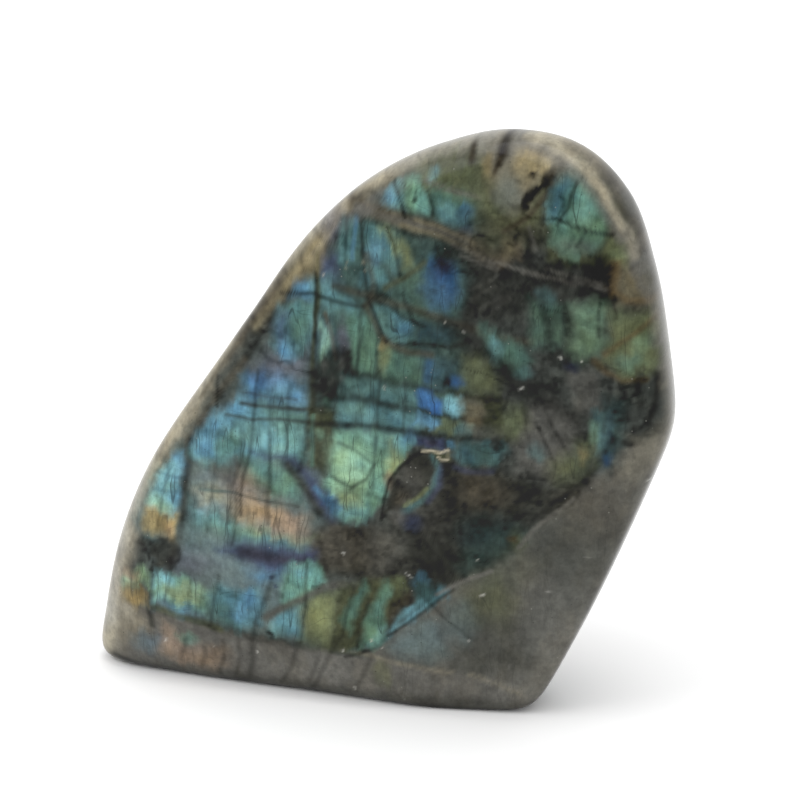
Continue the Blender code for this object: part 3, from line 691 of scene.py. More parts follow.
        self.zone(Hue.TEAL, 0.85, 0.85, 1.2, (-6, 42.6), (-1, 42.8), (1.8, 41.8), (1.6, 40), (-4, 39),
            (-6.4, 40.4))
        self.spot(Hue.COBALT, 1.4, 0.75, 1.2, -6.3, 42.6, 1.3, 1.7)
        self.crack(0.5, (-5, 55), (-2, 53.6), (1.6, 51.2))
        self.crack(0.65, (2.2, 51), (0.5, 48), (-2.8, 46), (-6.4, 48))
        self.crack(0.4, (-2.8, 46), (-4.4, 43.6), (-6, 43))
        self.seam(Hue.INK, 1.3, 0.62, 1.4, (-4, 69), (1.3, 68.9), (7.4, 68.2), (13.4, 67.6), (19, 67.4),
            (27.6, 66.6))
        self.seam(Hue.INK, 1.3, 0.62, 1.4, (-6.9, 64.2), (1.3, 64), (7.4, 63.4), (15.5, 62.6), (21.5, 62.3),
            (27, 62.3))
        self.seam(Hue.INK, 1.3, 0.68, 1.3, (-11, 58.3), (-6.9, 58.4), (0, 58.7), (7.4, 58.8), (13.4, 58.6),
            (19.5, 58.6), (28, 58.8))

    def upper_left(self) -> None:
        """Lays the flashes on both sides of the brown vein under the left of the crown."""
        self.zone(Hue.MOSS, 0.85, 0.6, 2, (8, 106), (9, 111), (16, 113), (22, 111), (21, 105), (14, 106))
        self.zone(Hue.TEAL, 1, 0.92, 0.7, (2.3, 105.5), (4.9, 107.5), (6.3, 104), (6.8, 102.2), (4.3, 102.4),
            (2.3, 103.8))
        self.spot(Hue.AZURE, 1, 0.6, 1, 3.6, 104.2, 1.3, 1.6)
        self.zone(Hue.SEA, 1.05, 0.92, 0.8, (6, 107.2), (8.8, 108.1), (10.8, 106.1), (11.7, 103.5),
            (11.3, 101.7), (8, 102.1), (6.8, 104.2))
        self.zone(Hue.SEA, 0.76, 0.75, 1.4, (11.8, 106.5), (16.5, 106.5), (21, 104.5), (21, 101), (17, 99.5),
            (12.8, 101))
        self.spot(Hue.TEAL, 0.95, 0.7, 1.2, 15.4, 102, 2.2, 2.6)
        self.spot(Hue.AZURE, 0.75, 0.8, 1, 19, 102.8, 1.8, 1.6)
        self.zone(Hue.COBALT, 0.4, 0.7, 1, (17.4, 101), (20.6, 101), (20.6, 98.4), (17.4, 99))
        self.spot(Hue.AQUA, 0.75, 0.55, 0.9, 11.9, 109.4, 0.9, 1)
        self.seam(Hue.FOG, 0.95, 0.6, 1, (10.4, 108), (16.3, 106.8), (21.5, 105.4))
        self.spot(Hue.INK, 1, 0.8, 0.4, 8.6, 104.6, 0.5, 0.5)
        self.crack(0.7, (10.8, 106), (12, 103), (12.3, 101.5))
        self.zone(Hue.TEAL, 0.62, 0.9, 0.9, (-6.2, 99.3), (-3, 100), (-2, 97), (-2.4, 92), (-6.2, 91.5))
        self.seam(Hue.AZURE, 0.85, 0.7, 0.9, (-3.2, 99.4), (-3.2, 95.5), (-3.4, 92))
        self.zone(Hue.TEAL, 0.7, 0.85, 1, (-1.2, 99.4), (2, 100), (5, 98.4), (6, 95), (6.6, 91), (4, 89),
            (1.8, 88), (0, 89.5), (-0.8, 93))
        self.spot(Hue.AZURE, 0.9, 0.7, 1.4, 1.4, 93.4, 1.6, 2.6)
        self.zone(Hue.LIME, 0.95, 0.85, 1, (1.8, 99.3), (4.6, 98.2), (6.4, 96), (5.4, 94), (3.6, 96.6))
        self.zone(Hue.MOSS, 1, 0.85, 0.9, (6.3, 97), (8.4, 95.6), (8.6, 92), (7, 91), (6.6, 94))
        self.spot(Hue.SEA, 0.95, 0.6, 1.2, 2.4, 89.2, 2.4, 1.4)
        self.crack(0.55, (-5.4, 99), (-5, 95), (-4.8, 91))
        self.seam(Hue.BARK, 1.15, 0.92, 3.1, (-4.6, 102), (2.3, 101.2), (6.4, 100.4), (12.4, 99.1),
            (18.3, 97.2), (22.2, 95.8), (26.5, 94.2))
        self.seam(Hue.STONE, 1.15, 0.7, 1.6, (-3.6, 101.3), (2.3, 100.8), (8, 100), (14, 98.4), (19, 96.8))
        self.seam(Hue.SAND, 1, 0.3, 1, (6.4, 99.4), (12.4, 98), (18.3, 96.1), (23, 94.4))
        self.seam(Hue.SAND, 1, 0.25, 0.8, (9, 100.6), (15, 98.8), (21, 96.6))
        self.seam(Hue.INK, 1, 0.4, 0.9, (-4, 100), (4, 98.8), (11, 97.2))
        self.spot(Hue.INK, 1.4, 0.55, 2.5, 22, 94.6, 4.5, 2.5)

    def centre(self) -> None:
        """Lays the cobalt eye and the shards between the veins in the middle."""
        self.zone(Hue.SEA, 0.6, 0.6, 1.6, (7, 90.5), (11, 91.5), (11.5, 87), (8, 85.5), (6, 87.5))
        self.spot(Hue.TEAL, 0.5, 0.75, 2, 14.9, 88.2, 5, 5.6)
        self.spot(Hue.COBALT, 0.82, 0.92, 2, 14.3, 88.4, 3.4, 4.4)
        self.spot(Hue.AZURE, 0.75, 0.5, 1.8, 14.2, 87, 1.8, 2.6)
        self.zone(Hue.INK, 0.9, 0.85, 1.2, (13.4, 94.9), (16.6, 95.3), (17.3, 93.2), (15.6, 90.6),
            (14.4, 91.6), (13.2, 92))
        self.spot(Hue.INDIGO, 0.6, 0.7, 1.4, 14.6, 91.4, 2.2, 1.4)
        self.spot(Hue.INK, 1, 0.6, 0.4, 14.8, 88.2, 0.5, 0.6)
        self.seam(Hue.INK, 1.3, 0.6, 2.4, (17.8, 95), (20, 91), (20.6, 86.5), (19.5, 82.5))
        self.zone(Hue.AZURE, 0.42, 0.6, 1.4, (10.5, 80.5), (16.5, 80.5), (17.4, 77.6), (11, 77))
        self.zone(Hue.TEAL, 0.66, 0.92, 0.8, (0.6, 81.8), (2.9, 83.4), (6.4, 82.4), (8.6, 80.6), (9.4, 77.6),
            (7.6, 76.6), (5.2, 76.6), (3.5, 77.6), (1.8, 79.4))
        self.spot(Hue.AZURE, 0.68, 0.6, 1.4, 7.4, 79.4, 1.4, 1.8)
        self.zone(Hue.TEAL, 0.68, 0.8, 1.2, (-0.6, 90.5), (3.5, 90), (4, 86.9), (0.6, 86.4), (-1, 88))
        self.zone(Hue.SEA, 0.5, 0.5, 1.4, (5, 86), (11, 85), (11, 82), (8, 81.5))
        self.zone(Hue.SEA, 0.62, 0.8, 1.4, (3, 75.2), (8, 74), (10.5, 73.4), (10.6, 69), (3, 69.6))
        self.spot(Hue.MOSS, 1.05, 0.7, 1, 3.3, 73.2, 1.2, 2.6)
        self.spot(Hue.GOLD, 0.7, 0.5, 0.6, 2.9, 76, 0.8, 1.4)
        self.zone(Hue.AZURE, 0.46, 0.6, 1.6, (11.6, 73.8), (15, 73.8), (17, 72.2), (15.4, 68.8),
            (11.6, 68.8))
        self.seam(Hue.COBALT, 0.9, 0.5, 1.6, (13, 73), (12.6, 69.5))
        self.spot(Hue.COBALT, 1.2, 0.8, 0.9, 18.2, 70, 1.3, 1)
        self.spot(Hue.INK, 1, 0.9, 0.5, 16.6, 69.8, 0.7, 0.9)
        self.zone(Hue.COBALT, 1.4, 0.97, 0.7, (10.6, 67.2), (13.8, 67.2), (15.9, 65.4), (15.5, 63.6),
            (11, 63.9))
        self.zone(Hue.AQUA, 0.85, 0.92, 0.7, (16.5, 66.1), (19.3, 66.4), (20, 64.6), (18.5, 62.9),
            (15.9, 63.4))
        self.zone(Hue.AZURE, 1, 0.92, 0.6, (10.2, 62.4), (14.4, 62), (15.4, 60.6), (13.5, 59.6), (9.8, 59.8))
        self.zone(Hue.MOSS, 0.95, 0.7, 0.7, (15.4, 61.8), (19, 61.8), (18.4, 59.3), (14.4, 59.3))
        self.zone(Hue.TEAL, 0.8, 0.7, 0.7, (18.8, 61.6), (21.6, 61.4), (20.6, 59.3), (18.2, 59.3))
        self.zone(Hue.INDIGO, 0.95, 0.95, 0.6, (10.8, 57.8), (16, 57.8), (15.8, 55.9), (13, 55.7),
            (11.4, 56))
        self.spot(Hue.PLUM, 0.7, 0.8, 0.5, 13.6, 56.8, 1.2, 0.7)
        self.spot(Hue.AZURE, 0.85, 0.85, 0.5, 17.2, 57, 0.9, 1)
        self.seam(Hue.BARK, 0.8, 0.7, 1.5, (-0.6, 82.6), (1.4, 79.6), (2.9, 77), (5.2, 75.5), (8.7, 74.4),
            (13, 74.8))
        self.seam(Hue.BARK, 0.85, 0.6, 1.5, (-7, 86.5), (-3, 85.6), (2, 84.4), (7, 83.4), (14.9, 82),
            (23, 79.6), (33, 78.7))
        self.seam(Hue.BARK, 0.9, 0.55, 1.4, (-0.5, 93), (1.2, 87.2), (0.2, 83))
        self.seam(Hue.OLIVE, 0.95, 0.7, 1.2, (3.6, 86.6), (7.4, 89), (11, 92.4))
        self.seam(Hue.INK, 1.2, 0.7, 0.9, (6.5, 75.9), (11, 76.6), (17, 76.6), (20, 77.6))
        self.crack(0.6, (-16, 83.7), (-10.9, 84.2), (-6.3, 83), (-0.6, 82.5))
        self.crack(0.5, (-10, 66), (-3, 72))
        self.crack(0.5, (2.4, 69), (2.2, 74))
        self.crack(0.5, (-1.6, 81), (-1.8, 75), (-1.8, 70))
        for x, z, cover in (
            (10, 97, 0.22), (19.7, 97.7, 0.42), (10, 87, 0.26), (21, 87, 0.34), (20, 76.5, 0.34),
            (-10, 56, 0.28),
        ):
            self.spot(Hue.ASH, 1, cover, 4, x, z, 5, 4.5)

    def middle_right(self) -> None:
        """Lays the dim markings right of the middle, and the speckled dark streak through them."""
        self.zone(Hue.SEA, 0.82, 0.75, 1.2, (23, 80), (26, 79.8), (31, 77.6), (33, 75), (31, 72.6),
            (27, 73.5), (24, 75.5))
        self.spot(Hue.TEAL, 0.9, 0.6, 1, 25.6, 77, 1.4, 2.2)
        self.zone(Hue.MOSS, 0.95, 0.6, 1.5, (19.5, 75), (23, 75), (27, 71), (26, 67.4), (20, 68))
        self.zone(Hue.SAND, 0.5, 0.5, 1.6, (19, 66.3), (24.5, 66.3), (23.5, 60.5), (19.6, 59.5))
        self.zone(Hue.OLIVE, 0.65, 0.85, 0.8, (24, 66), (27, 66.4), (27.4, 60), (23.6, 59))
        self.spot(Hue.MOSS, 0.72, 0.75, 2, 30, 62.6, 2.8, 3.2)
        self.spot(Hue.SLATE, 1.1, 0.7, 1.2, 24, 60, 2.6, 1.2)
        self.zone(Hue.TEAL, 0.46, 0.9, 0.9, (18, 56.3), (20.5, 57.8), (24.6, 58.2), (27.6, 58.2), (28.8, 57),
            (27.6, 55), (23.6, 53.3), (19.6, 53.2), (18.1, 54.4))
        self.spot(Hue.AZURE, 0.5, 0.6, 1.4, 21, 55.3, 2.2, 1.4)
        self.spot(Hue.INK, 1, 0.8, 0.5, 27.2, 57.6, 0.9, 0.8)
        self.seam(Hue.INDIGO, 0.7, 0.5, 1.2, (18.2, 52.6), (22, 52.2), (26, 52.4))
        self.zone(Hue.FOG, 0.9, 0.65, 2, (33, 67), (37, 68), (42, 64), (43, 58), (38, 52), (31, 53),
            (30, 58))
        self.zone(Hue.FOG, 0.85, 0.55, 1.5, (40, 74), (46, 74), (47, 66), (42, 66))
        self.spot(Hue.TEAL, 0.55, 0.45, 1.4, 34.6, 57, 1.8, 1.8)
        self.seam(Hue.INK, 1.3, 0.6, 3, (16, 81), (20, 79), (24, 75.8), (28, 72.2))
        self.zone(Hue.INK, 1.15, 0.65, 2.4, (26, 75), (30, 73), (34, 70.6), (39, 69), (43, 64), (45.5, 60.4),
            (43.5, 59.4), (39, 64.4), (34, 66.4), (28, 67.6), (26.5, 70))
        self.spot(Hue.TEAL, 0.65, 0.6, 1, 31.8, 72.6, 1.5, 1.2)
        self.spot(Hue.INDIGO, 0.5, 0.8, 0.8, 40.5, 74.4, 1.4, 1)
        self.crack(0.5, (34.5, 63), (37, 57), (39, 53))
        self.crack(0.5, (36, 66), (38.5, 61), (41, 56))
        self.crack(0.4, (32, 65), (33, 59), (34, 54))

    def chip(self) -> None:
        """Lays the boat-shaped chip right of the green flash, with the notch at its top."""
        self.zone(Hue.ASH, 0.95, 0.97, 0.6, (13.4, 55.2), (10.6, 54.4), (7.6, 51.6), (5.6, 48.6),
            (4.6, 44.4), (4.3, 40.8), (6, 42.3), (8.6, 44.2), (11.2, 45.6), (13.2, 49), (14.4, 52.4))
        self.spot(Hue.STONE, 0.95, 0.7, 1.8, 9.2, 48.6, 2.4, 3.4)
        self.spot(Hue.BARK, 0.9, 0.5, 1.2, 7.6, 45, 1.6, 2.4)
        self.seam(Hue.INK, 1.1, 0.85, 0.7, (12.6, 55.2), (10.4, 54.2), (7.4, 51.4), (5.4, 48.4), (4.4, 44.4),
            (4.1, 40.6))
        self.seam(Hue.TEAL, 0.5, 0.7, 1.3, (13.8, 54.2), (15, 51.4), (14, 48.2), (11.8, 45.2), (8.4, 42.6))
        self.seam(Hue.MOSS, 1.1, 0.6, 0.8, (12.6, 47.6), (10.6, 45.4), (8.6, 43.9))
        self.seam(Hue.INDIGO, 0.9, 0.6, 1.4, (15.6, 52), (15, 48.4), (13, 45.2))
        self.spot(Hue.INDIGO, 0.85, 0.7, 1.2, 9.9, 40.4, 1.7, 1.3)
        self.spot(Hue.FOG, 0.95, 0.7, 1.2, 7.4, 41.4, 1.6, 1.4)
        self.zone(Hue.OLIVE, 0.75, 0.9, 0.4, (13.6, 55), (17.2, 55.4), (17, 53.4), (15.2, 53.6))
        self.zone(Hue.INK, 1.3, 0.8, 0.6, (15.4, 53.6), (17.4, 53.6), (17.2, 50.4), (15.8, 50))
        self.seam(Hue.BONE, 1.2, 0.9, 0.5, (11.4, 55), (13.4, 55.4), (15.3, 55.1), (17.2, 55.8))
        self.seam(Hue.BONE, 1.25, 0.9, 0.5, (14.9, 54.2), (15.8, 53.6), (17, 53.8))
        self.seam(Hue.BONE, 1.1, 0.6, 0.4, (17.1, 55.6), (17, 53.8))

    def crown(self) -> None:
        """Lays the tan crown with its dark bars and black blots, and the dark ground under it."""
        self.zone(Hue.OLIVE, 1.2, 0.8, 3, (19.5, 113), (38, 113), (35.5, 106), (33, 99), (24, 97), (21, 103))
        self.zone(Hue.BONE, 0.52, 0.85, 2.6, (22, 113.5), (24, 116), (30, 116), (36, 114.6), (39, 113.4),
            (35.5, 111.6), (33.6, 109), (31, 104.5), (27.5, 103.5), (25, 105.6), (22.5, 110.5))
        self.spot(Hue.GOLD, 1.05, 0.75, 1.6, 34.8, 113.4, 3.8, 1.6)
        self.spot(Hue.GOLD, 0.8, 0.5, 1.8, 30.6, 112.4, 2.2, 3.2)
        self.spot(Hue.GOLD, 0.55, 0.5, 1, 22.6, 111.5, 1.2, 1.6)
        self.spot(Hue.FOG, 1.15, 0.6, 1.8, 25, 114.2, 2.2, 1.8)
        self.spot(Hue.MIST, 1.1, 0.4, 2, 27, 107, 2.5, 3)
        self.spot(Hue.SAND, 0.6, 0.5, 1.4, 27.9, 96.6, 1.6, 1.7)
        self.seam(Hue.BARK, 0.34, 0.95, 2, (24.8, 115.8), (24.8, 113.8))
        self.seam(Hue.BARK, 0.34, 0.95, 1.5, (24.8, 113.8), (24.3, 112))
        self.seam(Hue.BARK, 0.6, 0.9, 0.9, (24.4, 112.2), (23.8, 110))
        self.seam(Hue.BARK, 0.5, 0.9, 1.4, (18.6, 114.2), (18.8, 112.3))
        for x, z, wide, high in (
            (33.9, 109.6, 0.7, 0.9), (34.8, 110.9, 1.1, 0.9), (36, 111.3, 0.9, 0.6), (35.6, 109.9, 0.8, 0.6),
            (37.2, 111.9, 1, 0.4), (34.5, 108.8, 0.5, 0.4), (31.3, 110.6, 0.5, 0.6), (31.9, 111.1, 0.3, 0.3),
            (30.1, 105.4, 0.7, 1.3), (31.2, 106.7, 0.9, 0.9), (32.3, 107.8, 0.9, 0.7),
            (33.2, 108.5, 0.6, 0.4), (30.8, 104.9, 0.5, 0.5), (31.9, 106.4, 0.4, 0.5),
        ):
            self.spot(Hue.INK, 0.8, 0.95, 0.4, x, z, 1.25 * wide, 1.2 * high)
        self.seam(Hue.BARK, 0.75, 0.7, 1.1, (38.5, 112), (36.6, 109.8), (34.2, 106.6), (31, 102.4),
            (27, 99.8))
        self.seam(Hue.FOG, 1, 0.3, 0.8, (32, 99.5), (32.6, 96.4))
        self.spot(Hue.BARK, 0.7, 0.5, 2, 28, 100, 4, 2)
        self.spot(Hue.ASH, 0.8, 0.5, 1.5, 33, 98.5, 2.4, 1.6)

    def brow_flash(self) -> None:
        """Lays the green flash under the right brow and the pale one beyond it."""
        self.zone(Hue.OLIVE, 0.8, 0.85, 1, (39.6, 112.6), (43.6, 109.4), (47, 105), (49, 99.6), (49.6, 94.6),
            (46, 94), (35.4, 95), (34.4, 100))
        self.zone(Hue.SEA, 0.86, 0.92, 0.9, (38.9, 112), (41.4, 109.6), (44, 106.6), (45.8, 103.8),
            (45.6, 101.1), (45.3, 98.4), (43.8, 96.4), (40.6, 95.9), (37.8, 96.5), (35.3, 98.5),
            (35.8, 101.6), (34.9, 104), (35.7, 107.5), (37, 110.2))
        self.zone(Hue.AZURE, 0.78, 0.7, 1.4, (35.2, 103.6), (35.8, 107.3), (37.4, 110), (38.6, 108.6),
            (37.6, 105.4), (36.8, 102.6))
        self.zone(Hue.SLATE, 1.2, 0.5, 2, (35.4, 99), (38, 99.6), (43.6, 98.6), (43.6, 96.4), (37, 96.6))
        self.spot(Hue.MINT, 0.8, 0.45, 1.8, 41.4, 103.4, 2.2, 3.4)
        self.spot(Hue.SLATE, 1.3, 0.5, 1.6, 42, 97.6, 3, 1.4)
        self.crack(0.65, (39.6, 108.6), (39, 105), (36.8, 101.4))
        self.crack(0.7, (36, 102.6), (40.6, 101.6), (47, 100.2))
        self.crack(0.5, (42, 101.2), (40.2, 98))
        self.zone(Hue.MOSS, 1.05, 0.85, 0.9, (46.4, 99.4), (49.4, 99.2), (50.6, 96), (50.2, 93.8), (47, 95))
        self.crack(0.4, (46.8, 98), (51.2, 99))

    def right_side(self) -> None:
        """Lays the dim green columns, the brown edges and the blue flash of the right."""
        self.spot(Hue.INK, 1, 0.85, 2.2, 45, 92, 2.2, 3.8)
        self.zone(Hue.UMBER, 0.95, 0.85, 0.9, (46.8, 95), (48.4, 95), (49, 90), (47.8, 88), (46.6, 89))
        self.zone(Hue.SAND, 0.55, 0.6, 1.8, (49, 94.5), (52, 93), (54.4, 86), (49, 87))
        self.spot(Hue.TEAL, 0.62, 0.6, 1.4, 35.4, 87.3, 1.8, 2)
        self.zone(Hue.SEA, 0.62, 0.6, 1.2, (32.5, 86.5), (39, 86.5), (39, 78), (33, 78))
        self.seam(Hue.INK, 1.2, 0.6, 2, (34.7, 87.3), (36.1, 81.4), (36.6, 76))
        self.seam(Hue.INK, 1.2, 0.6, 1.6, (39.1, 87.5), (40.4, 80), (40, 75.6))
        self.zone(Hue.MINT, 0.54, 0.8, 1.5, (40.2, 85.9), (42.3, 87.2), (46.1, 87.4), (46.9, 84.8),
            (46.1, 80.9), (47.6, 79), (45.2, 77), (42.3, 76.4), (40.2, 77.6), (40.6, 81.6))
        self.zone(Hue.MOSS, 0.9, 0.7, 1.2, (46.8, 86.6), (55.6, 85), (57, 78), (56.6, 74), (50, 73),
            (46.6, 75.4), (48, 80))
        self.spot(Hue.MINT, 0.7, 0.5, 1.2, 53.6, 79.2, 1.8, 1.7)
        self.spot(Hue.SEA, 0.9, 0.4, 1.2, 52, 76, 2.6, 1.4)
        self.seam(Hue.UMBER, 1.1, 0.55, 1.2, (46.5, 90.5), (50.3, 87.8), (56.2, 86.2))
        self.seam(Hue.UMBER, 1, 0.5, 1.2, (55.4, 84), (51.8, 81), (47, 77.4))
        self.seam(Hue.UMBER, 0.7, 0.6, 1.3, (45, 76), (47.5, 74), (50.1, 72.6), (54.5, 72.8))
        self.zone(Hue.SLATE, 0.68, 0.85, 1, (46.5, 72.8), (56.4, 72), (57, 66), (55.5, 62), (50.5, 62.5),
            (47, 66))
        self.seam(Hue.INK, 1, 0.8, 1.2, (56.3, 73.4), (56.6, 68), (56, 64.6))
        self.zone(Hue.TEAL, 0.24, 0.75, 1.6, (47.4, 68.4), (50.7, 68.6), (51.2, 62.6), (49.9, 55.7),
            (47.9, 54.8), (47.2, 59.7), (47.6, 64.5))
        self.zone(Hue.TEAL, 0.5, 0.7, 1, (45.6, 66.4), (47.4, 66.6), (47.8, 59.8), (46.2, 58.8))
        self.spot(Hue.COBALT, 0.38, 0.7, 0.8, 48.7, 57.6, 0.9, 1.5)
        self.spot(Hue.AZURE, 0.35, 0.5, 0.8, 48.6, 63, 0.7, 2.4)
        for x, z, wide, high in (
            (49.2, 61, 0.9, 1.3), (48.4, 59, 0.6, 0.6), (50, 64.8, 0.9, 0.5), (49.4, 66.6, 0.5, 0.4),
            (52, 60.4, 1.2, 0.8), (51.8, 66, 0.7, 1.2), (54, 68, 0.8, 0.6), (53.4, 63.4, 0.6, 0.5),
        ):
            self.spot(Hue.INK, 0.9, 0.75, 0.6, x, z, wide, high)
        self.seam(Hue.MINT, 0.55, 0.65, 1.6, (45.4, 63.4), (45.7, 60.6))
        self.zone(Hue.MOSS, 0.66, 0.7, 1.8, (42.4, 60), (45.8, 60.4), (46.2, 56.4), (44.4, 54.6),
            (41.6, 55.4))
        self.spot(Hue.GOLD, 0.5, 0.6, 0.8, 43.6, 57.2, 0.8, 1.6)
        self.spot(Hue.MOSS, 0.75, 0.6, 2, 40.6, 54.4, 3, 2.2)
        self.seam(Hue.INK, 1, 0.7, 1, (31, 46.5), (35, 49.3))
        self.seam(Hue.INK, 1, 0.6, 1, (38, 47), (41, 48.8))

    def right_rim(self) -> None:
        """Lays the right rim: a painted highlight along its ridge and painted reflection on the bevel
        outside.
        """
        # Painted reflection: the pale band beyond the ridge stands for the studio seen in the right bevel.
        self.zone(Hue.FOG, 1.1, 0.85, 1, (26, 121), (52, 118), (72, 90), (66, 74), (57.6, 74), (56, 82),
            (54.9, 86.4), (53.6, 90.8), (52.4, 94.5), (51.2, 98.2), (50.1, 101.1), (48.4, 104),
            (46.5, 106.5), (44, 109), (40.8, 111.7), (37.6, 113.5), (34.2, 115), (30.7, 115.8),
            (25.9, 116.1))
        self.quiet(1.5, (22, 121), (52, 118), (72, 90), (66, 54), (58, 60), (56, 80), (52.4, 92), (46, 104),
            (36, 112.6), (22, 115))
        # Painted reflection: pale patches on the bevel at the top and at the lower right.
        self.spot(Hue.BONE, 0.95, 0.7, 3, 40, 114.2, 6, 3.4)
        self.zone(Hue.BONE, 0.55, 0.8, 1.4, (57.6, 76), (64, 76), (66, 54), (58.6, 55), (58.8, 66))
        # Painted highlights: the FOG and BONE seams here run along the ridge between the face and the bevel.
        self.seam(Hue.FOG, 1.2, 0.75, 2.2, (28, 115.6), (33, 114.2), (37, 112.3), (41, 109.4), (44.4, 106),
            (47.2, 102), (48.6, 99.6))
        self.seam(Hue.BONE, 1.1, 0.8, 1.2, (28, 116.2), (33, 115.3), (36.8, 113.4), (40.8, 110.7),
            (44.2, 107.3), (47.1, 103.4), (49.5, 99), (51, 95.4))
        self.seam(Hue.BARK, 1.1, 0.4, 0.9, (34, 115.6), (41, 112.1), (45.8, 107.6), (49.6, 101.6),
            (51.9, 96.2))
        self.seam(Hue.FOG, 1.15, 0.55, 2, (48.6, 99.6), (50.2, 96.4), (51.6, 93))
        self.seam(Hue.FOG, 1.2, 0.5, 1.6, (51.2, 94.4), (53.2, 89.4), (54.8, 85), (56.2, 79))

    def fibres(self) -> None:
        """Lays the hollow under the crown, the pale fibres through it and the tan of the left rim."""
        self.zone(Hue.INK, 1, 0.6, 1.2, (26.9, 99.6), (28.8, 100.9), (31.7, 100.7), (32.6, 98.5),
            (31.1, 96.9), (30.4, 99), (28.2, 98.4))
        self.zone(Hue.BARK, 1.4, 0.6, 0.9, (28.3, 98.2), (29.9, 98.3), (30.3, 94.5), (28.7, 94.4))
        self.zone(Hue.INK, 1, 0.8, 1.2, (44.9, 95.7), (47, 95), (47.9, 87.8), (45.8, 87.1), (44.8, 91.7))
        self.seam(Hue.INK, 1, 0.6, 1.4, (37, 94.6), (41.7, 94.2), (45.3, 93.6))
        for points in (
            ((26.2, 93.8), (30.1, 92.9), (34.1, 91.9), (41.8, 91), (46.4, 89.8)),
            ((35, 93.3), (39.9, 92.2), (45.5, 90.9)), ((30.6, 92.2), (36, 91.5), (40.8, 90.3)),
            ((18.3, 94.3), (22.2, 93.5), (26.2, 92.6)), ((16.6, 96.1), (21.4, 94.9), (25.4, 93.7)),
            ((31.7, 100.7), (32.6, 98.5), (33.3, 96.7)),
        ):
            self.seam(Hue.FOG, 0.92, 0.36, 0.8, *points)
        for points in (
            ((20.5, 85.9), (23.3, 87.7), (26.3, 89.6)), ((21.4, 83.6), (24.5, 85.5), (28, 87.4)),
            ((20.1, 87.8), (23.2, 89.2), (25.9, 91.1)), ((23.1, 82.3), (26.5, 85.3), (28.4, 86.6)),
        ):
            self.seam(Hue.STONE, 0.8, 0.2, 0.8, *points)
        self.zone(Hue.SAND, 0.8, 0.55, 1.6, (-10.6, 95.5), (-9.5, 92.6), (-10.7, 89.2), (-12.8, 87.2),
            (-17, 86.2), (-14.7, 90.1))
        self.spot(Hue.BARK, 0.8, 0.6, 0.6, -14.5, 90.2, 0.5, 1)
        self.spot(Hue.BARK, 0.8, 0.6, 0.5, -13.6, 88.2, 0.5, 0.5)
        self.seam(Hue.ASH, 1.2, 0.5, 1.6, (-0.5, 92.9), (1.6, 91.7), (3.6, 91.1), (5.3, 88.5))

    def fine_cracks(self) -> None:
        """Lays the thin cracks of the upper half."""
        self.crack(0.9, (3.9, 106.8), (5.1, 105.3), (6.1, 103.2), (6.9, 100.9))
        self.crack(0.75, (3.7, 98.5), (5.3, 95.6), (6, 92.5), (6.5, 89.6))
        self.crack(0.75, (-2.1, 99), (-1.4, 94.9), (-0.8, 89.9), (-0.3, 85.7))
        self.crack(0.8, (-0.4, 84.5), (1.1, 81.9), (2.7, 78.8), (4.1, 76.1))
        self.crack(0.7, (-18.5, 83.2), (-14.7, 83.8), (-11.3, 84.2), (-7.5, 83.8), (-2.4, 82.7))
        self.crack(0.7, (-10.9, 88.4), (-10.8, 83), (-10.2, 74.2))
        self.crack(0.6, (7, 85.7), (7.9, 83.2), (9.2, 80.6))
        self.crack(0.6, (1, 84.2), (4.6, 83), (7.5, 81.2), (11.6, 80))
        self.crack(0.42, (37.4, 102.3), (41.2, 101.4), (44.8, 100.5), (46.9, 100))
        self.crack(0.4, (39.5, 108.8), (39.3, 106.8), (39.7, 104.5))
        self.crack(0.4, (40, 100.2), (38.8, 97.8), (37.8, 96.3))
        self.crack(0.8, (47.8, 88.6), (48.1, 86.4), (48.4, 84.4))
        self.crack(0.6, (45.4, 87.1), (45.2, 84), (45.5, 80.9))
        self.crack(0.55, (2.5, 56.3), (2, 50.2), (1.9, 45.1))
        self.crack(0.55, (-1.1, 78.1), (-1.4, 73.7), (-1.5, 68.9))
        self.crack(0.5, (3, 70.1), (2.7, 64.4), (2.6, 58.4))
        self.crack(0.5, (-19.3, 54.1), (-19.4, 50.1), (-19.1, 43.9))
        self.crack(0.55, (-26.2, 43.2), (-26.8, 36.9), (-27.2, 31.6))
        self.crack(0.5, (8.1, 69), (8, 62.9), (7.8, 57.7))
        self.crack(0.8, (-31.2, 65.2), (-30.9, 62.3), (-30.9, 59.6))
        for x, z in ((-1.2, 91.5), (-1, 89.9), (-4.5, 90), (-4.6, 91.2)):
            self.spot(Hue.BONE, 1, 0.35, 0.3, x, z, 0.3, 0.3)

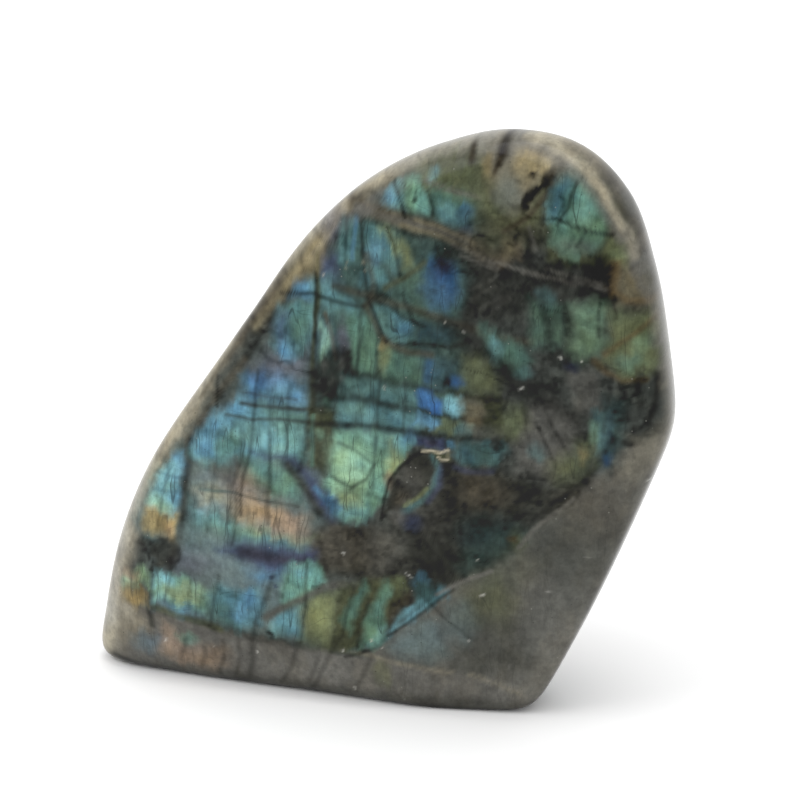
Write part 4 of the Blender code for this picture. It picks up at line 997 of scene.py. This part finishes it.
    def cracks(self) -> None:
        """Lays the long cleavage cracks of the left, and the slanting ones of the foot."""
        self.crack(0.7, (-22.4, 68), (-22.6, 61), (-23.2, 54), (-25, 46), (-25.6, 38))
        self.crack(0.5, (-15.4, 66), (-15.6, 58), (-16, 51))
        self.crack(0.45, (-19.4, 62), (-19.2, 54), (-19.6, 46), (-20, 37))
        self.crack(0.45, (-25.6, 56), (-25.4, 50), (-27.4, 43), (-28.4, 36))
        self.crack(0.4, (-30.6, 55), (-30.8, 48), (-32, 41), (-33, 33))
        self.crack(0.4, (-13.2, 40), (-13.4, 34))
        self.crack(0.55, (-41, 46), (-42.4, 40), (-43.2, 33))
        self.crack(0.35, (-44.6, 41), (-38.6, 41.4))
        self.crack(0.35, (-44, 44.6), (-38, 44.4))
        self.seam(Hue.INK, 1.2, 0.42, 1.3, (-18.3, 26), (-20.3, 20.1), (-22, 15.3), (-22.8, 11), (-24, 3))
        self.crack(0.6, (-11.2, 29.8), (-11.6, 20), (-12.2, 12.8))
        self.crack(0.4, (-15, 28), (-16.2, 22))
        self.crack(0.5, (-29.6, 25), (-31, 19), (-32, 14))
        self.crack(0.4, (-26, 22), (-26.6, 15))
        self.crack(0.45, (-35.6, 23), (-36.2, 17))
        self.crack(0.4, (-40, 24), (-41.4, 18))
        for top, x, z, foot in (
            (9.8, -37.4, 4.6, -39), (10.9, -29.4, 2.6, -30.9), (11.6, -26, 2.4, -27), (9, -33.6, 4, -34.4),
            (12.2, -13, 2, -17.6), (14.3, -4.6, 1.4, -10.8), (11, 2.4, 4, -1), (10, -8.6, 3, -11.6),
        ):
            bow = (0.5 * (x + foot) + 0.3, 0.5 * (z + top))
            self.seam(Hue.INK, 1.2, 0.34, 1.1, (x, top), bow, (foot, z))
        for x, z, size in (
            (-9.4, 88.4, 0.5), (3.6, 67.2, 0.35), (19.4, 79.4, 0.5), (15.2, 81.2, 0.4), (2, 14.6, 0.6),
            (4.6, 13.6, 0.35), (-3.4, 12.6, 0.4), (-4.4, 32.6, 0.5), (24.6, 26.4, 0.7), (37.6, 28, 0.5),
            (29.5, 11, 0.4), (21.4, 16, 0.4), (42.6, 75.8, 0.5), (31.2, 69.2, 0.4), (38.6, 75.6, 0.6),
            (-22.4, 9.4, 0.4), (-2, 3.2, 0.5), (8.4, 1.8, 0.4), (56, 52, 0.4), (9.6, 29.4, 0.35),
            (24, 34, 0.35), (45, 36, 0.35), (-31, 8.6, 0.35), (-42, 9, 0.5),
        ):
            self.spot(Hue.PALE, 1, 0.55, 0.3, x, z, 0.5 * size, 0.5 * size)


class BackMarkings(Paint):
    """The plainer markings of the rounded back, which the photograph doesn't show."""

    CLOUDS = (
        (Hue.STONE, 0.8, 16.0),
        (Hue.ASH, 0.8, 11.0),
        (Hue.BARK, 0.5, 13.0),
        (Hue.FOG, 0.6, 7.0),
        (Hue.TEAL, 0.16, 14.0),
        (Hue.MOSS, 0.16, 12.0),
    )
    FIRST_SEED = 61

    def mark(self) -> BackMarkings:
        """Lays grey clouds with a few dim flashes.

        Returns:
            The painted back itself.
        """
        for i, (hue, cover, pitch) in enumerate(self.CLOUDS):
            cloud = value_noise(self.x, self.jagged_z, pitch, self.FIRST_SEED + i)
            self.lay(hue, 0.8, cover, np.arange(len(self.x)), 1.8 * cloud - 0.1)
        self.weather()
        return self


@dataclass
class StoneForm:
    """The stone's own formula, the same as the solid's: every ray from its heart meets its surface once.

    Each ground surface is measured along a ray as a number that reaches 1 on that surface, and the largest
    of those numbers, taken softly, is 1 on the finished stone. Sizes are in metres.
    """

    heart_x: float = 0.006
    heart_z: float = 0.052
    face_depth: float = 0.0170
    back_depth: float = 0.0210
    lean: float = math.radians(5.0)
    lower_sides: tuple = (((0.0614, 0.0600), (0.0387, 0.0000)), ((0.0444, 0.0165), (0.0370, 0.0010)))
    facets: tuple = (
        ((0.0030, 0.0130), (0.0480, 0.0540), math.radians(12.0)),
        ((-0.0495, 0.0165), (0.0316, 0.0078), math.radians(20.0)),
    )
    bevel_pitch: float = 0.70
    crown: float = 0.62
    crown_power: float = 4.0
    back_tiers: tuple = (((1.00, 0.10), (0.86, 0.66)), ((0.93, 0.50), (0.55, 0.97)))
    lower_side_keenness: float = 70.0
    rim_keenness: float = 24.0
    facet_keenness: float = 110.0
    back_keenness: float = 9.0
    base_keenness: float = 26.0
    base_allowance: float = 0.0003
    polish_waves: tuple = (
        (0.0022, (11.0, 23.0, 8.0), 0.4),
        (0.0016, (-19.0, 9.0, 15.0), 2.1),
        (0.0010, (27.0, -31.0, -22.0), 4.0),
    )
    girdle: dict = field(default_factory=lambda: {
        "right corner": (0.0616, 0.0625, 0.0045),
        "right side": (0.0594, 0.0780, 0.0060),
        "right shoulder": (0.0560, 0.0920, 0.0075),
        "right brow": (0.0500, 0.1060, 0.0080),
        "crown right": (0.0398, 0.1146, 0.0075),
        "crown": (0.0270, 0.1167, 0.0060),
        "crown left": (0.0125, 0.1128, 0.0055),
        "left shoulder": (-0.0014, 0.1050, 0.0060),
        "left brow": (-0.0104, 0.0968, 0.0065),
        "left slope top": (-0.0250, 0.0765, 0.0065),
        "left slope foot": (-0.0430, 0.0490, 0.0065),
        "left knee": (-0.0524, 0.0285, 0.0085),
        "left side": (-0.0566, 0.0110, 0.0105),
        "left toe": (-0.0586, -0.0075, 0.0130),
        "under left": (-0.0400, -0.0230, 0.0090),
        "under right": (0.0100, -0.0230, 0.0050),
        "right toe": (0.0500, 0.0100, 0.0045),
    })

    def __post_init__(self) -> None:
        """Turns the girdle's points into smooth functions of the angle about the heart."""
        x, z, bevels = np.array(list(self.girdle.values())).T
        angles = np.arctan2(z - self.heart_z, x - self.heart_x)
        self.free_reach = self.closed_spline(angles, np.hypot(x - self.heart_x, z - self.heart_z))
        self.bevel_width = self.closed_spline(angles, bevels)

    @staticmethod
    def soft_largest(keenness: float, *sizes: np.ndarray) -> np.ndarray:
        """The largest size at each place, rounded off where two are nearly equal, by their power sum.

        Args:
            keenness: The power: the higher, the sharper the edge between two surfaces.
            sizes: The numbers to compare.

        Returns:
            The softened largest number at each place.
        """
        sizes = [np.maximum(size, 0.0) for size in sizes]
        top = np.maximum(np.maximum.reduce(np.broadcast_arrays(*sizes)), 1e-9)
        return top * sum((size / top) ** keenness for size in sizes) ** (1.0 / keenness)

    @staticmethod
    def closed_spline(angles: np.ndarray, values: np.ndarray) -> Callable[[np.ndarray], np.ndarray]:
        """A smooth closed curve through values at angles, by cubic Hermite pieces.

        Args:
            angles: Where the values are, in radians.
            values: What the curve is there.

        Returns:
            The curve, as a function of the angle.
        """
        order = np.argsort(angles)
        angles, values = angles[order], values[order]
        steps = (np.roll(angles, -1) - angles) % (2.0 * math.pi)
        chords = (np.roll(values, -1) - values) / steps
        before = np.roll(steps, 1)
        slopes = (np.roll(chords, 1) * steps + chords * before) / (before + steps)

        def curve(angle: np.ndarray) -> np.ndarray:
            """The curve at these angles.

            Args:
                angle: Angles, in radians.

            Returns:
                The values there.
            """
            beyond = (angle[..., None] - angles) % (2.0 * math.pi)
            i = beyond.argmin(axis=-1)
            following = (i + 1) % len(angles)
            t = beyond.min(axis=-1) / steps[i]
            return (
                values[i] * (1 + 2 * t) * (1 - t) ** 2
                + slopes[i] * steps[i] * t * (1 - t) ** 2
                + values[following] * t**2 * (3 - 2 * t)
                - slopes[following] * steps[i] * t**2 * (1 - t)
            )

        return curve

    def side_line(self, upper: tuple, lower: tuple, angle: np.ndarray) -> np.ndarray:
        """How full the stone is in the direction of each angle by a straight side.

        Args:
            upper: The side's upper point, as (x, z).
            lower: Its lower point.
            angle: Angles about the heart, in radians.

        Returns:
            1 over the distance from the heart to the side.
        """
        (x1, z1), (x2, z2) = upper, lower
        length = math.hypot(x2 - x1, z2 - z1)
        normal_x, normal_z = (z1 - z2) / length, (x2 - x1) / length
        distance = normal_x * (x1 - self.heart_x) + normal_z * (z1 - self.heart_z)
        return (normal_x * np.cos(angle) + normal_z * np.sin(angle)) / distance

    def girdle_reach(self, angle: np.ndarray) -> np.ndarray:
        """Distance from the heart to the girdle: the smooth outline, met by the straight lower sides."""
        sides = [self.side_line(*points, angle) for points in self.lower_sides]
        return 1.0 / self.soft_largest(self.lower_side_keenness, 1.0 / self.free_reach(angle), *sides)

    def outline_reach(self, angle: np.ndarray) -> np.ndarray:
        """Distance from the heart to the outline seen from the front, which the base cuts off."""
        base = -np.sin(angle) / self.heart_z
        return 1.0 / self.soft_largest(self.base_keenness, 1.0 / self.girdle_reach(angle), base)

    def facet_plane(self, ridge_start: tuple, ridge_end: tuple, tip: float) -> np.ndarray:
        """A facet that leaves the face at a ridge, as its outward normal over its distance from the heart.

        Args:
            ridge_start: The left point of the ridge, as (x, z).
            ridge_end: The right point of the ridge.
            tip: How far the facet tips away from the face, in radians.

        Returns:
            The vector whose product with a place is 1 on the facet.
        """
        along_x, along_z = ridge_end[0] - ridge_start[0], ridge_end[1] - ridge_start[1]
        sideways = math.sin(tip) / math.hypot(along_x, along_z)
        normal = np.array((sideways * along_z, -math.cos(tip), -sideways * along_x))
        start = np.array((ridge_start[0] - self.heart_x, -self.face_depth, ridge_start[1] - self.heart_z))
        return normal / (normal @ start)

    @staticmethod
    def line_through(first: tuple, second: tuple) -> tuple:
        """The line through two points of a section, whose places are shares of the reach and of the depth.

        Args:
            first: One point, as (reach share, depth share).
            second: The other.

        Returns:
            The weights (p, q) for which p * reach share + q * depth share is 1 at both points.
        """
        (a1, b1), (a2, b2) = first, second
        det = a1 * b2 - a2 * b1
        return (b2 - b1) / det, (a1 - a2) / det

    def fullness(self, directions: np.ndarray) -> np.ndarray:
        """How full the stone is in each direction from its heart: 1 over the distance to its surface.

        Args:
            directions: Vectors from the heart.

        Returns:
            The soft largest of girdle, face, bevel, back and base along each.
        """
        x, y, z = np.moveaxis(directions, -1, 0)
        angle = np.arctan2(z, x)
        reach = self.girdle_reach(angle)
        out = np.hypot(x, z) / reach
        front = -y / self.face_depth
        back = y / self.back_depth

        step = 1e-3
        slope = (self.girdle_reach(angle + step) - self.girdle_reach(angle - step)) / (2 * step)
        width = self.bevel_width(angle)
        inset = width * np.hypot(reach, slope) / reach**2
        drop = width * self.bevel_pitch / self.face_depth
        p, q = self.line_through((1.0 - inset, 1.0), (1.0, 1.0 - drop))
        bevel = p * out + q * front

        crowned = self.soft_largest(self.crown_power, front, self.crown * out)
        facets = [directions @ self.facet_plane(*facet) for facet in self.facets]
        face = self.soft_largest(self.facet_keenness, crowned, *facets)
        tiers = [self.line_through(*tier) for tier in self.back_tiers]
        dome = self.soft_largest(self.back_keenness, back, *(tp * out + tq * back for tp, tq in tiers))
        body = self.soft_largest(self.rim_keenness, out, face, bevel, dome)
        base = -z / (self.heart_z + self.base_allowance)
        return self.soft_largest(self.base_keenness, body, base)

    def surface(self, directions: np.ndarray) -> np.ndarray:
        """The surface points in these directions: waved, leaned back, and cut at the base.

        Args:
            directions: Vectors from the heart.

        Returns:
            The points, in metres.
        """
        points = directions / self.fullness(directions)[..., None]
        swell = np.ones(points.shape[:-1])
        for height, waves, phase in self.polish_waves:
            swell += height * np.sin(2.0 * math.pi * (points @ np.array(waves)) + phase)
        points *= swell[..., None]
        points[..., 1] += points[..., 2] * math.tan(self.lean)
        points += (self.heart_x, 0.0, self.heart_z)
        points[..., 2] = np.maximum(points[..., 2], 0.0)
        return points


@dataclass
class StoneSkin:
    """A closed net over the stone: a fine square of cells wrapped over the face, rings, and a coarser back.

    A square net's rings become rings round the stone: the share of the way round a square ring is the same
    share of the outline's length, and the share of the way out is a place on the section that runs from the
    middle of the face over the rim to the middle of the back. Counts halve between the face and the back.
    """

    form: StoneForm
    face_cells: int = 288
    back_cells: int = 72
    face_section: tuple = ((0.0, 0.0, 1.0), (0.79, 0.90, 1.0), (0.905, 1.0, 0.68), (1.0, 1.0, 0.30))
    side_section: tuple = ((0.0, 1.0, 0.30), (0.45, 1.0, -0.12), (1.0, 0.93, -0.55))
    back_section: tuple = ((0.0, 0.0, -1.0), (1.0, 0.93, -0.55))
    half_rings: int = 5
    quarter_rings: int = 10

    def __post_init__(self) -> None:
        """Measures the outline, so that places round it can be given as shares of its length."""
        self.angles = np.linspace(0.0, 2.0 * math.pi, 4001)
        reach = self.form.outline_reach(self.angles)
        steps = np.hypot(np.diff(reach * np.cos(self.angles)), np.diff(reach * np.sin(self.angles)))
        lengths = np.concatenate(([0.0], np.cumsum(steps)))
        self.shares = lengths / lengths[-1]

    def places(self, out: np.ndarray, turn: np.ndarray, section: tuple) -> np.ndarray:
        """Surface points at shares of a section and of the way round.

        Args:
            out: Shares of the way along the section.
            turn: Shares of the way round the outline.
            section: Rows of a share along it, a share of the outline's reach, and a share of the depth.

        Returns:
            The points.
        """
        marks, outs, depths = np.array(section).T
        angle = np.interp(turn, self.shares, self.angles)
        reach = np.interp(out, marks, outs) * self.form.outline_reach(angle)
        depth = np.interp(out, marks, depths)
        y = -depth * np.where(depth > 0.0, self.form.face_depth, self.form.back_depth)
        return self.form.surface(np.stack((reach * np.cos(angle), y, reach * np.sin(angle)), axis=-1))

    def square(self, cells: int, section: tuple) -> np.ndarray:
        """A square net of points, its middle at the section's start and its border at the section's end.

        Args:
            cells: How many cells it has along a side.
            section: The section, as in places.

        Returns:
            The points, by column and row.
        """
        a, b = np.meshgrid(np.arange(-cells, cells + 1, 2), np.arange(-cells, cells + 1, 2), indexing="ij")
        out = np.maximum(np.abs(a), np.abs(b))
        whole = np.where(out == 0, 1, out)
        right, left = (a >= np.abs(b)), (-a >= np.abs(b))
        eighths = np.where(b > 0, 2.0 - a / whole, 6.0 + a / whole)
        eighths = np.where(left, 4.0 - b / whole, eighths)
        eighths = np.where(right, b / whole, eighths)
        return self.places(out / cells, (eighths % 8.0) / 8.0, section)

    @staticmethod
    def border(cells: int, first: int) -> np.ndarray:
        """The numbers of a square net's border points, from the middle of its right side and round.

        Args:
            cells: How many cells the net has along a side.
            first: The number of its first point.

        Returns:
            The numbers, in order.
        """
        grid = first + np.arange((cells + 1) ** 2).reshape(cells + 1, cells + 1)
        loop = np.concatenate((grid[-1, :-1], grid[::-1, -1][:-1], grid[0, ::-1][:-1], grid[:, 0][:-1]))
        return np.roll(loop, -cells // 2)

    @staticmethod
    def cells(cells: int, first: int) -> np.ndarray:
        """The quads of a square net, as point numbers, turned so that those of the face look along -Y."""
        grid = first + np.arange((cells + 1) ** 2).reshape(cells + 1, cells + 1)
        return np.stack((grid[:-1, :-1], grid[1:, :-1], grid[1:, 1:], grid[:-1, 1:]), axis=-1).reshape(-1, 4)

    def build(self) -> tuple[np.ndarray, list]:
        """Makes the net.

        Returns:
            The points, and the faces as lists of point numbers.
        """
        face = self.square(self.face_cells, self.face_section).reshape(-1, 3)
        back = self.square(self.back_cells, self.back_section).reshape(-1, 3)
        points, faces = [face], [self.cells(self.face_cells, 0)]
        count, loop = len(face), self.border(self.face_cells, 0)
        rings = self.half_rings + self.quarter_rings
        for ring in range(1, rings + 1):
            size = 4 * self.back_cells * (2 if ring <= self.half_rings else 1)
            if ring < rings:
                turn = np.arange(size) / size
                points.append(self.places(np.full(size, ring / rings), turn, self.side_section))
                following = count + np.arange(size)
                count += size
            else:
                following = self.border(self.back_cells, count)
            faces.extend(self.strip(loop, following))
            loop = following
        points.append(back)
        faces.append(self.cells(self.back_cells, count)[:, ::-1])
        return np.concatenate(points), [face for group in faces for face in group.tolist()]

    @staticmethod
    def strip(loop: np.ndarray, following: np.ndarray) -> list:
        """Faces between a ring and the one behind it, which has as many points or half as many.

        Args:
            loop: The numbers of the ring's points.
            following: Those of the ring behind it.

        Returns:
            Arrays of faces, as point numbers.
        """
        if len(loop) == len(following):
            return [np.stack((loop, following, np.roll(following, -1), np.roll(loop, -1)), axis=-1)]
        first, middle, last = loop[0::2], loop[1::2], np.roll(loop[0::2], -1)
        after = np.roll(following, -1)
        return [
            np.stack((first, following, middle), axis=-1),
            np.stack((middle, following, after), axis=-1),
            np.stack((middle, after, last), axis=-1),
        ]


class Term:
    """A socket's value, which Python's arithmetic carries on as Math nodes."""

    def __init__(self, board: Board, socket: bpy.types.NodeSocket) -> None:
        """Wraps one of the board's output sockets."""
        self.board = board
        self.socket = socket

    def math(self, operation: str, *others: Term | float) -> Term:
        """A Math node with this value first."""
        values = {i + 1: other for i, other in enumerate(others)}
        return self.board.node("ShaderNodeMath", {"operation": operation}, {0: self, **values})

    def __sub__(self, other: Term | float) -> Term:
        """Difference."""
        return self.math("SUBTRACT", other)

    def __mul__(self, other: Term | float) -> Term:
        """Product."""
        return self.math("MULTIPLY", other)

    def __radd__(self, other: float) -> Term:
        """Sum with a number on the left."""
        return self.math("ADD", other)

    def __rmul__(self, other: float) -> Term:
        """Product with a number on the left."""
        return self.math("MULTIPLY", other)

    def __rsub__(self, other: float) -> Term:
        """A number less this value."""
        return self.board.node("ShaderNodeMath", {"operation": "SUBTRACT"}, {0: other, 1: self})

    def step(self, low: float, high: float, at_low: float = 0.0, at_high: float = 1.0) -> Term:
        """A smooth step: at_low below low, at_high above high."""
        ends = {"From Min": low, "From Max": high, "To Min": at_low, "To Max": at_high}
        way = {"interpolation_type": "SMOOTHSTEP"}
        return self.board.node("ShaderNodeMapRange", way, {"Value": self, **ends})


class Board:
    """A material's node tree, to which one method adds every node."""

    def __init__(self, name: str) -> None:
        """Makes a material with an empty tree.

        Args:
            name: The material's name.
        """
        self.material = bpy.data.materials.new(name)
        self.material.use_nodes = True
        self.tree = self.material.node_tree
        self.tree.nodes.clear()

    def node(self, kind: str, settings: dict | None = None, sockets: dict | None = None,
             output: str | int = 0) -> Term:
        """Adds a node.

        Args:
            kind: The node's type.
            settings: Its own settings, which are set first.
            sockets: Values or Terms for its inputs, by name or number.
            output: Which of its outputs to give back.

        Returns:
            The output, as a Term.
        """
        made = self.tree.nodes.new(kind)
        for name, value in (settings or {}).items():
            setattr(made, name, value)
        for key, value in (sockets or {}).items():
            if isinstance(value, Term):
                self.tree.links.new(value.socket, made.inputs[key])
            else:
                made.inputs[key].default_value = value
        return Term(self, made.outputs[output])

    def stretch(self, vector: Term, x: float, y: float, z: float) -> Term:
        """A vector with its parts multiplied."""
        return self.node("ShaderNodeVectorMath", {"operation": "MULTIPLY"}, {0: vector, 1: (x, y, z)})

    def shift(self, vector: Term, other: Term | tuple) -> Term:
        """The sum of two vectors."""
        return self.node("ShaderNodeVectorMath", {"operation": "ADD"}, {0: vector, 1: other})

    def noise(self, vector: Term, scale: float, detail: float = 2.0, rough: float = 0.5,
              output: str | int = 0) -> Term:
        """Noise from 0 to 1 in three dimensions."""
        sockets = {"Vector": vector, "Scale": scale, "Detail": detail, "Roughness": rough}
        return self.node("ShaderNodeTexNoise", {}, sockets, output)

    def scatter(self, vector: Term, scale: float) -> Term:
        """The distance to the nearest of scattered points."""
        return self.node("ShaderNodeTexVoronoi", {"feature": "F1"}, {"Vector": vector, "Scale": scale})

    def attribute(self, name: str, output: str) -> Term:
        """A value or colour stored on the mesh's points."""
        return self.node("ShaderNodeAttribute", {"attribute_name": name}, {}, output)

    def blend(self, way: str, share: Term | float, first: Term | tuple, second: Term | tuple) -> Term:
        """A Mix node on colours."""
        settings = {"data_type": "RGBA", "blend_type": way}
        return self.node("ShaderNodeMix", settings, {0: share, 6: first, 7: second}, 2)


@dataclass(frozen=True)
class PolishedStone:
    """The finish: the markings' colours, broken up by cleavage cracks, streaks, clouds and specks."""

    roughness: float = 0.17
    specular: float = 0.20
    gain: float = 1.10
    veil: float = 0.017
    color_attribute: str = "stone_color"
    flash_attribute: str = "stone_flash"

    def build(self) -> bpy.types.Material:
        """Makes the material.

        Returns:
            The material.
        """
        board = Board("polished_labradorite")
        place = board.node("ShaderNodeTexCoord", {}, {}, "Object")
        mm = board.stretch(place, 1000.0, 1000.0, 1000.0)
        flash = board.attribute(self.flash_attribute, "Color")
        flash = board.node("ShaderNodeSeparateColor", {}, {0: flash})
        color = board.attribute(self.color_attribute, "Color")

        sway = board.noise(mm, 0.16, 2.0, 0.5, "Color")
        sway = board.stretch(board.shift(sway, (-0.5, -0.5, -0.5)), 2.4, 0.0, 2.4)
        bent = board.shift(mm, sway)
        patchy = board.noise(mm, 0.10, 2.0)
        upright = board.noise(board.stretch(bent, 0.50, 0.05, 0.040), 1.0, 0.0)
        slant = board.noise(board.stretch(bent, 0.05, 0.05, 0.30), 1.0, 0.0)
        cracks = (upright - 0.5).math("ABSOLUTE").step(0.004, 0.016, 1.0, 0.0) * patchy.step(0.40, 0.56)
        faults = (slant - 0.5).math("ABSOLUTE").step(0.002, 0.010, 1.0, 0.0) * patchy.step(0.56, 0.44)
        cracks = cracks * (0.25 + 0.75 * flash)
        cracks = cracks.math("MAXIMUM", faults * 0.5 * flash)

        streaks = board.noise(board.stretch(bent, 1.7, 0.10, 0.11), 1.0, 3.0, 0.6)
        clouds = board.noise(board.stretch(mm, 1.0, 0.5, 0.8), 0.35, 6.0, 0.62)
        fleck = board.noise(mm, 1.1, 4.0, 0.65)
        specks = board.scatter(mm, 0.42).step(0.04, 0.08, 1.0, 0.0)
        pits = board.scatter(mm, 0.80).step(0.09, 0.18, 1.0, 0.0) * fleck.step(0.52, 0.62)

        light = 1.0 + (streaks.step(0.25, 0.75, -0.15, 0.15) * (0.15 + 0.85 * flash))
        light = light * clouds.step(0.30, 0.66, 0.80, 1.16)
        light = light * fleck.step(0.32, 0.66, 0.90, 1.09)
        light = light * (1.0 - 0.55 * cracks) * (1.0 - 0.5 * pits)
        tone = board.node("ShaderNodeCombineColor", {}, {0: light, 1: light, 2: light})
        color = board.blend("MULTIPLY", 1.0, color, tone)
        warm = board.noise(board.stretch(mm, 1.0, 1.0, 0.6), 0.16, 4.0, 0.6).step(0.42, 0.64, 0.0, 0.25)
        color = board.blend("MULTIPLY", warm, color, (1.10, 0.98, 0.78, 1.0))
        color = board.blend("MIX", specks * 0.45 * patchy.step(0.5, 0.6), color, (0.26, 0.26, 0.23, 1.0))

        height = fleck * 0.10 - cracks * 0.6
        relief = {"Strength": 0.10, "Distance": 0.0004, "Height": height}
        bump = board.node("ShaderNodeBump", {}, relief, "Normal")
        shader = board.node("ShaderNodeBsdfPrincipled", {}, {
            "Base Color": color,
            "Roughness": fleck.step(0.3, 0.7, self.roughness - 0.03, self.roughness + 0.06),
            "Specular IOR Level": self.specular,
            "Normal": bump,
        })
        self.close(board, shader)
        return board.material

    def under_polish(self, color: np.ndarray) -> np.ndarray:
        """The base colour that looks like the wanted one where the polish adds its pale veil."""
        return np.maximum((color - self.veil) / self.gain, 0.1 * color)

    @staticmethod
    def close(board: Board, shader: Term) -> None:
        """Joins the shader to the material's output."""
        output = board.tree.nodes.new("ShaderNodeOutputMaterial")
        board.tree.links.new(shader.socket, output.inputs["Surface"])


@dataclass
class Stone:
    """The labradorite freeform, in place of the plain solid.

    The face's colours dim and give way to the back's where the rim turns: from rim_place millimetres in
    front of the middle at the stone's foot, over the next fade millimetres.
    """

    form: StoneForm = field(default_factory=StoneForm)
    finish: PolishedStone = field(default_factory=PolishedStone)
    node: str = "labradorite"
    rim_place: float = 14.0
    fade: float = 8.0
    dimming: float = 0.38

    def build(self) -> bpy.types.Object:
        """Makes the stone, paints it and dresses it.

        Returns:
            The stone's object, on the body that carries it.
        """
        points, faces = StoneSkin(self.form).build()
        middle = (points.min(axis=0) + points.max(axis=0)) / 2.0
        points -= middle * (1.0, 1.0, 0.0)
        color, flash = self.paint(points)
        data = bpy.data.meshes.new("labradorite_stone")
        data.from_pydata(points.tolist(), [], faces)
        for name, values in ((self.finish.color_attribute, color), (self.finish.flash_attribute, flash)):
            stored = data.attributes.new(name, "FLOAT_COLOR", "POINT")
            stored.data.foreach_set("color", np.column_stack((values, np.ones(len(values)))).ravel())
        data.shade_smooth()
        data.materials.append(self.finish.build())
        stone = bpy.data.objects.new("labradorite_stone", data)
        bpy.context.scene.collection.objects.link(stone)
        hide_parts(self.node)
        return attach(stone, "root")

    def paint(self, points: np.ndarray) -> tuple[np.ndarray, np.ndarray]:
        """Lays the markings of the face and of the back on the points.

        Args:
            points: The stone's points, in metres.

        Returns:
            The colours, and how much of each is flash, as a grey.
        """
        x, y, z = points.T / MM
        face = FaceMarkings(x, z, Hue.SLATE).mark()
        back = BackMarkings(x + 0.7 * y, z + 0.4 * y, Hue.SLATE).mark()
        past = y + self.rim_place - 0.15 * z + 1.5 * value_noise(x + y, z, 5.0, 71)
        behind = smooth_step(past / self.fade)[:, None]
        # Painted shade: dusk darkens the face's colours, and the painted rim reflection among them, past the
        # rim's turn.
        dusk = 1.0 - self.dimming * smooth_step((past - 0.5) / 5.0)[:, None]
        flash = face.flash[:, None] * (1.0 - behind) + back.flash[:, None] * behind
        color = face.color * dusk * (1.0 - behind) + back.color * behind
        return self.finish.under_polish(color), np.repeat(flash, 3, axis=1)


@dataclass
class Studio:
    """A white floor, soft light from all round and a camera where the photograph's was."""

    target: tuple = (0.0, 0.0, 0.055)
    distance: float = 0.62
    azimuth: float = math.radians(16.0)
    elevation: float = math.radians(20.0)
    lens: float = 138.65
    shift: tuple = (0.01335, 0.020)
    floor_half: float = 3.0
    sky: float = 0.92

    def build(self) -> None:
        """Makes the floor, the sky, the lamps and the camera."""
        self.floor()
        world = bpy.data.worlds.new("white_sky")
        bpy.context.scene.world = world
        world.use_nodes = True
        world.node_tree.nodes["Background"].inputs["Color"].default_value = (1.0, 1.0, 1.0, 1.0)
        world.node_tree.nodes["Background"].inputs["Strength"].default_value = self.sky
        self.lamp("left_softbox", (-0.9, -0.5, 0.9), 0.9, 6.0)
        self.lamp("top_softbox", (0.1, 0.2, 1.3), 1.0, 7.0)
        self.camera()
        bpy.context.scene.view_settings.view_transform = "Standard"

    def floor(self) -> bpy.types.Object:
        """Makes a large flat floor under the stone.

        Returns:
            The floor's object.
        """
        half = self.floor_half
        corners = [(-half, -half, 0.0), (half, -half, 0.0), (half, half, 0.0), (-half, half, 0.0)]
        data = bpy.data.meshes.new("studio_floor")
        data.from_pydata(corners, [], [(0, 1, 2, 3)])
        board = Board("white_floor")
        shader = board.node("ShaderNodeBsdfPrincipled", {}, {
            "Base Color": (0.93, 0.93, 0.93, 1.0), "Roughness": 0.9, "Specular IOR Level": 0.1,
        })
        PolishedStone.close(board, shader)
        data.materials.append(board.material)
        floor = bpy.data.objects.new("studio_floor", data)
        bpy.context.scene.collection.objects.link(floor)
        return floor

    def lamp(self, name: str, place: tuple, size: float, power: float) -> None:
        """Adds a square soft light that looks at the target.

        Args:
            name: The lamp's name.
            place: Where it stands, in metres.
            size: Its side.
            power: Its power, in watts.
        """
        data = bpy.data.lights.new(name, "AREA")
        data.size = size
        data.energy = power
        lamp = bpy.data.objects.new(name, data)
        lamp.location = place
        away = np.array(place) - np.array(self.target)
        tilt = math.acos(away[2] / np.linalg.norm(away))
        lamp.rotation_euler = (tilt, 0.0, math.atan2(away[1], away[0]) + math.pi / 2)
        bpy.context.scene.collection.objects.link(lamp)

    def camera(self) -> None:
        """A long lens, a little shifted so that the stone lies where it does in the photograph."""
        data = bpy.data.cameras.new("camera")
        data.lens = self.lens
        data.shift_x, data.shift_y = self.shift
        camera = bpy.data.objects.new("camera", data)
        level = self.distance * math.cos(self.elevation)
        camera.location = (
            self.target[0] + level * math.sin(self.azimuth),
            self.target[1] - level * math.cos(self.azimuth),
            self.target[2] + self.distance * math.sin(self.elevation),
        )
        camera.rotation_euler = (math.pi / 2 - self.elevation, 0.0, self.azimuth)
        bpy.context.scene.collection.objects.link(camera)
        bpy.context.scene.camera = camera


def main() -> None:
    """Builds the stone and the studio."""
    logging.basicConfig(level=logging.INFO, format="%(name)s: %(message)s")
    stone = Stone().build()
    LOG.info("%s has %d points", stone.name, len(stone.data.vertices))
    Studio().build()
    LOG.info("studio is set")


if __name__ == "__main__":
    main()
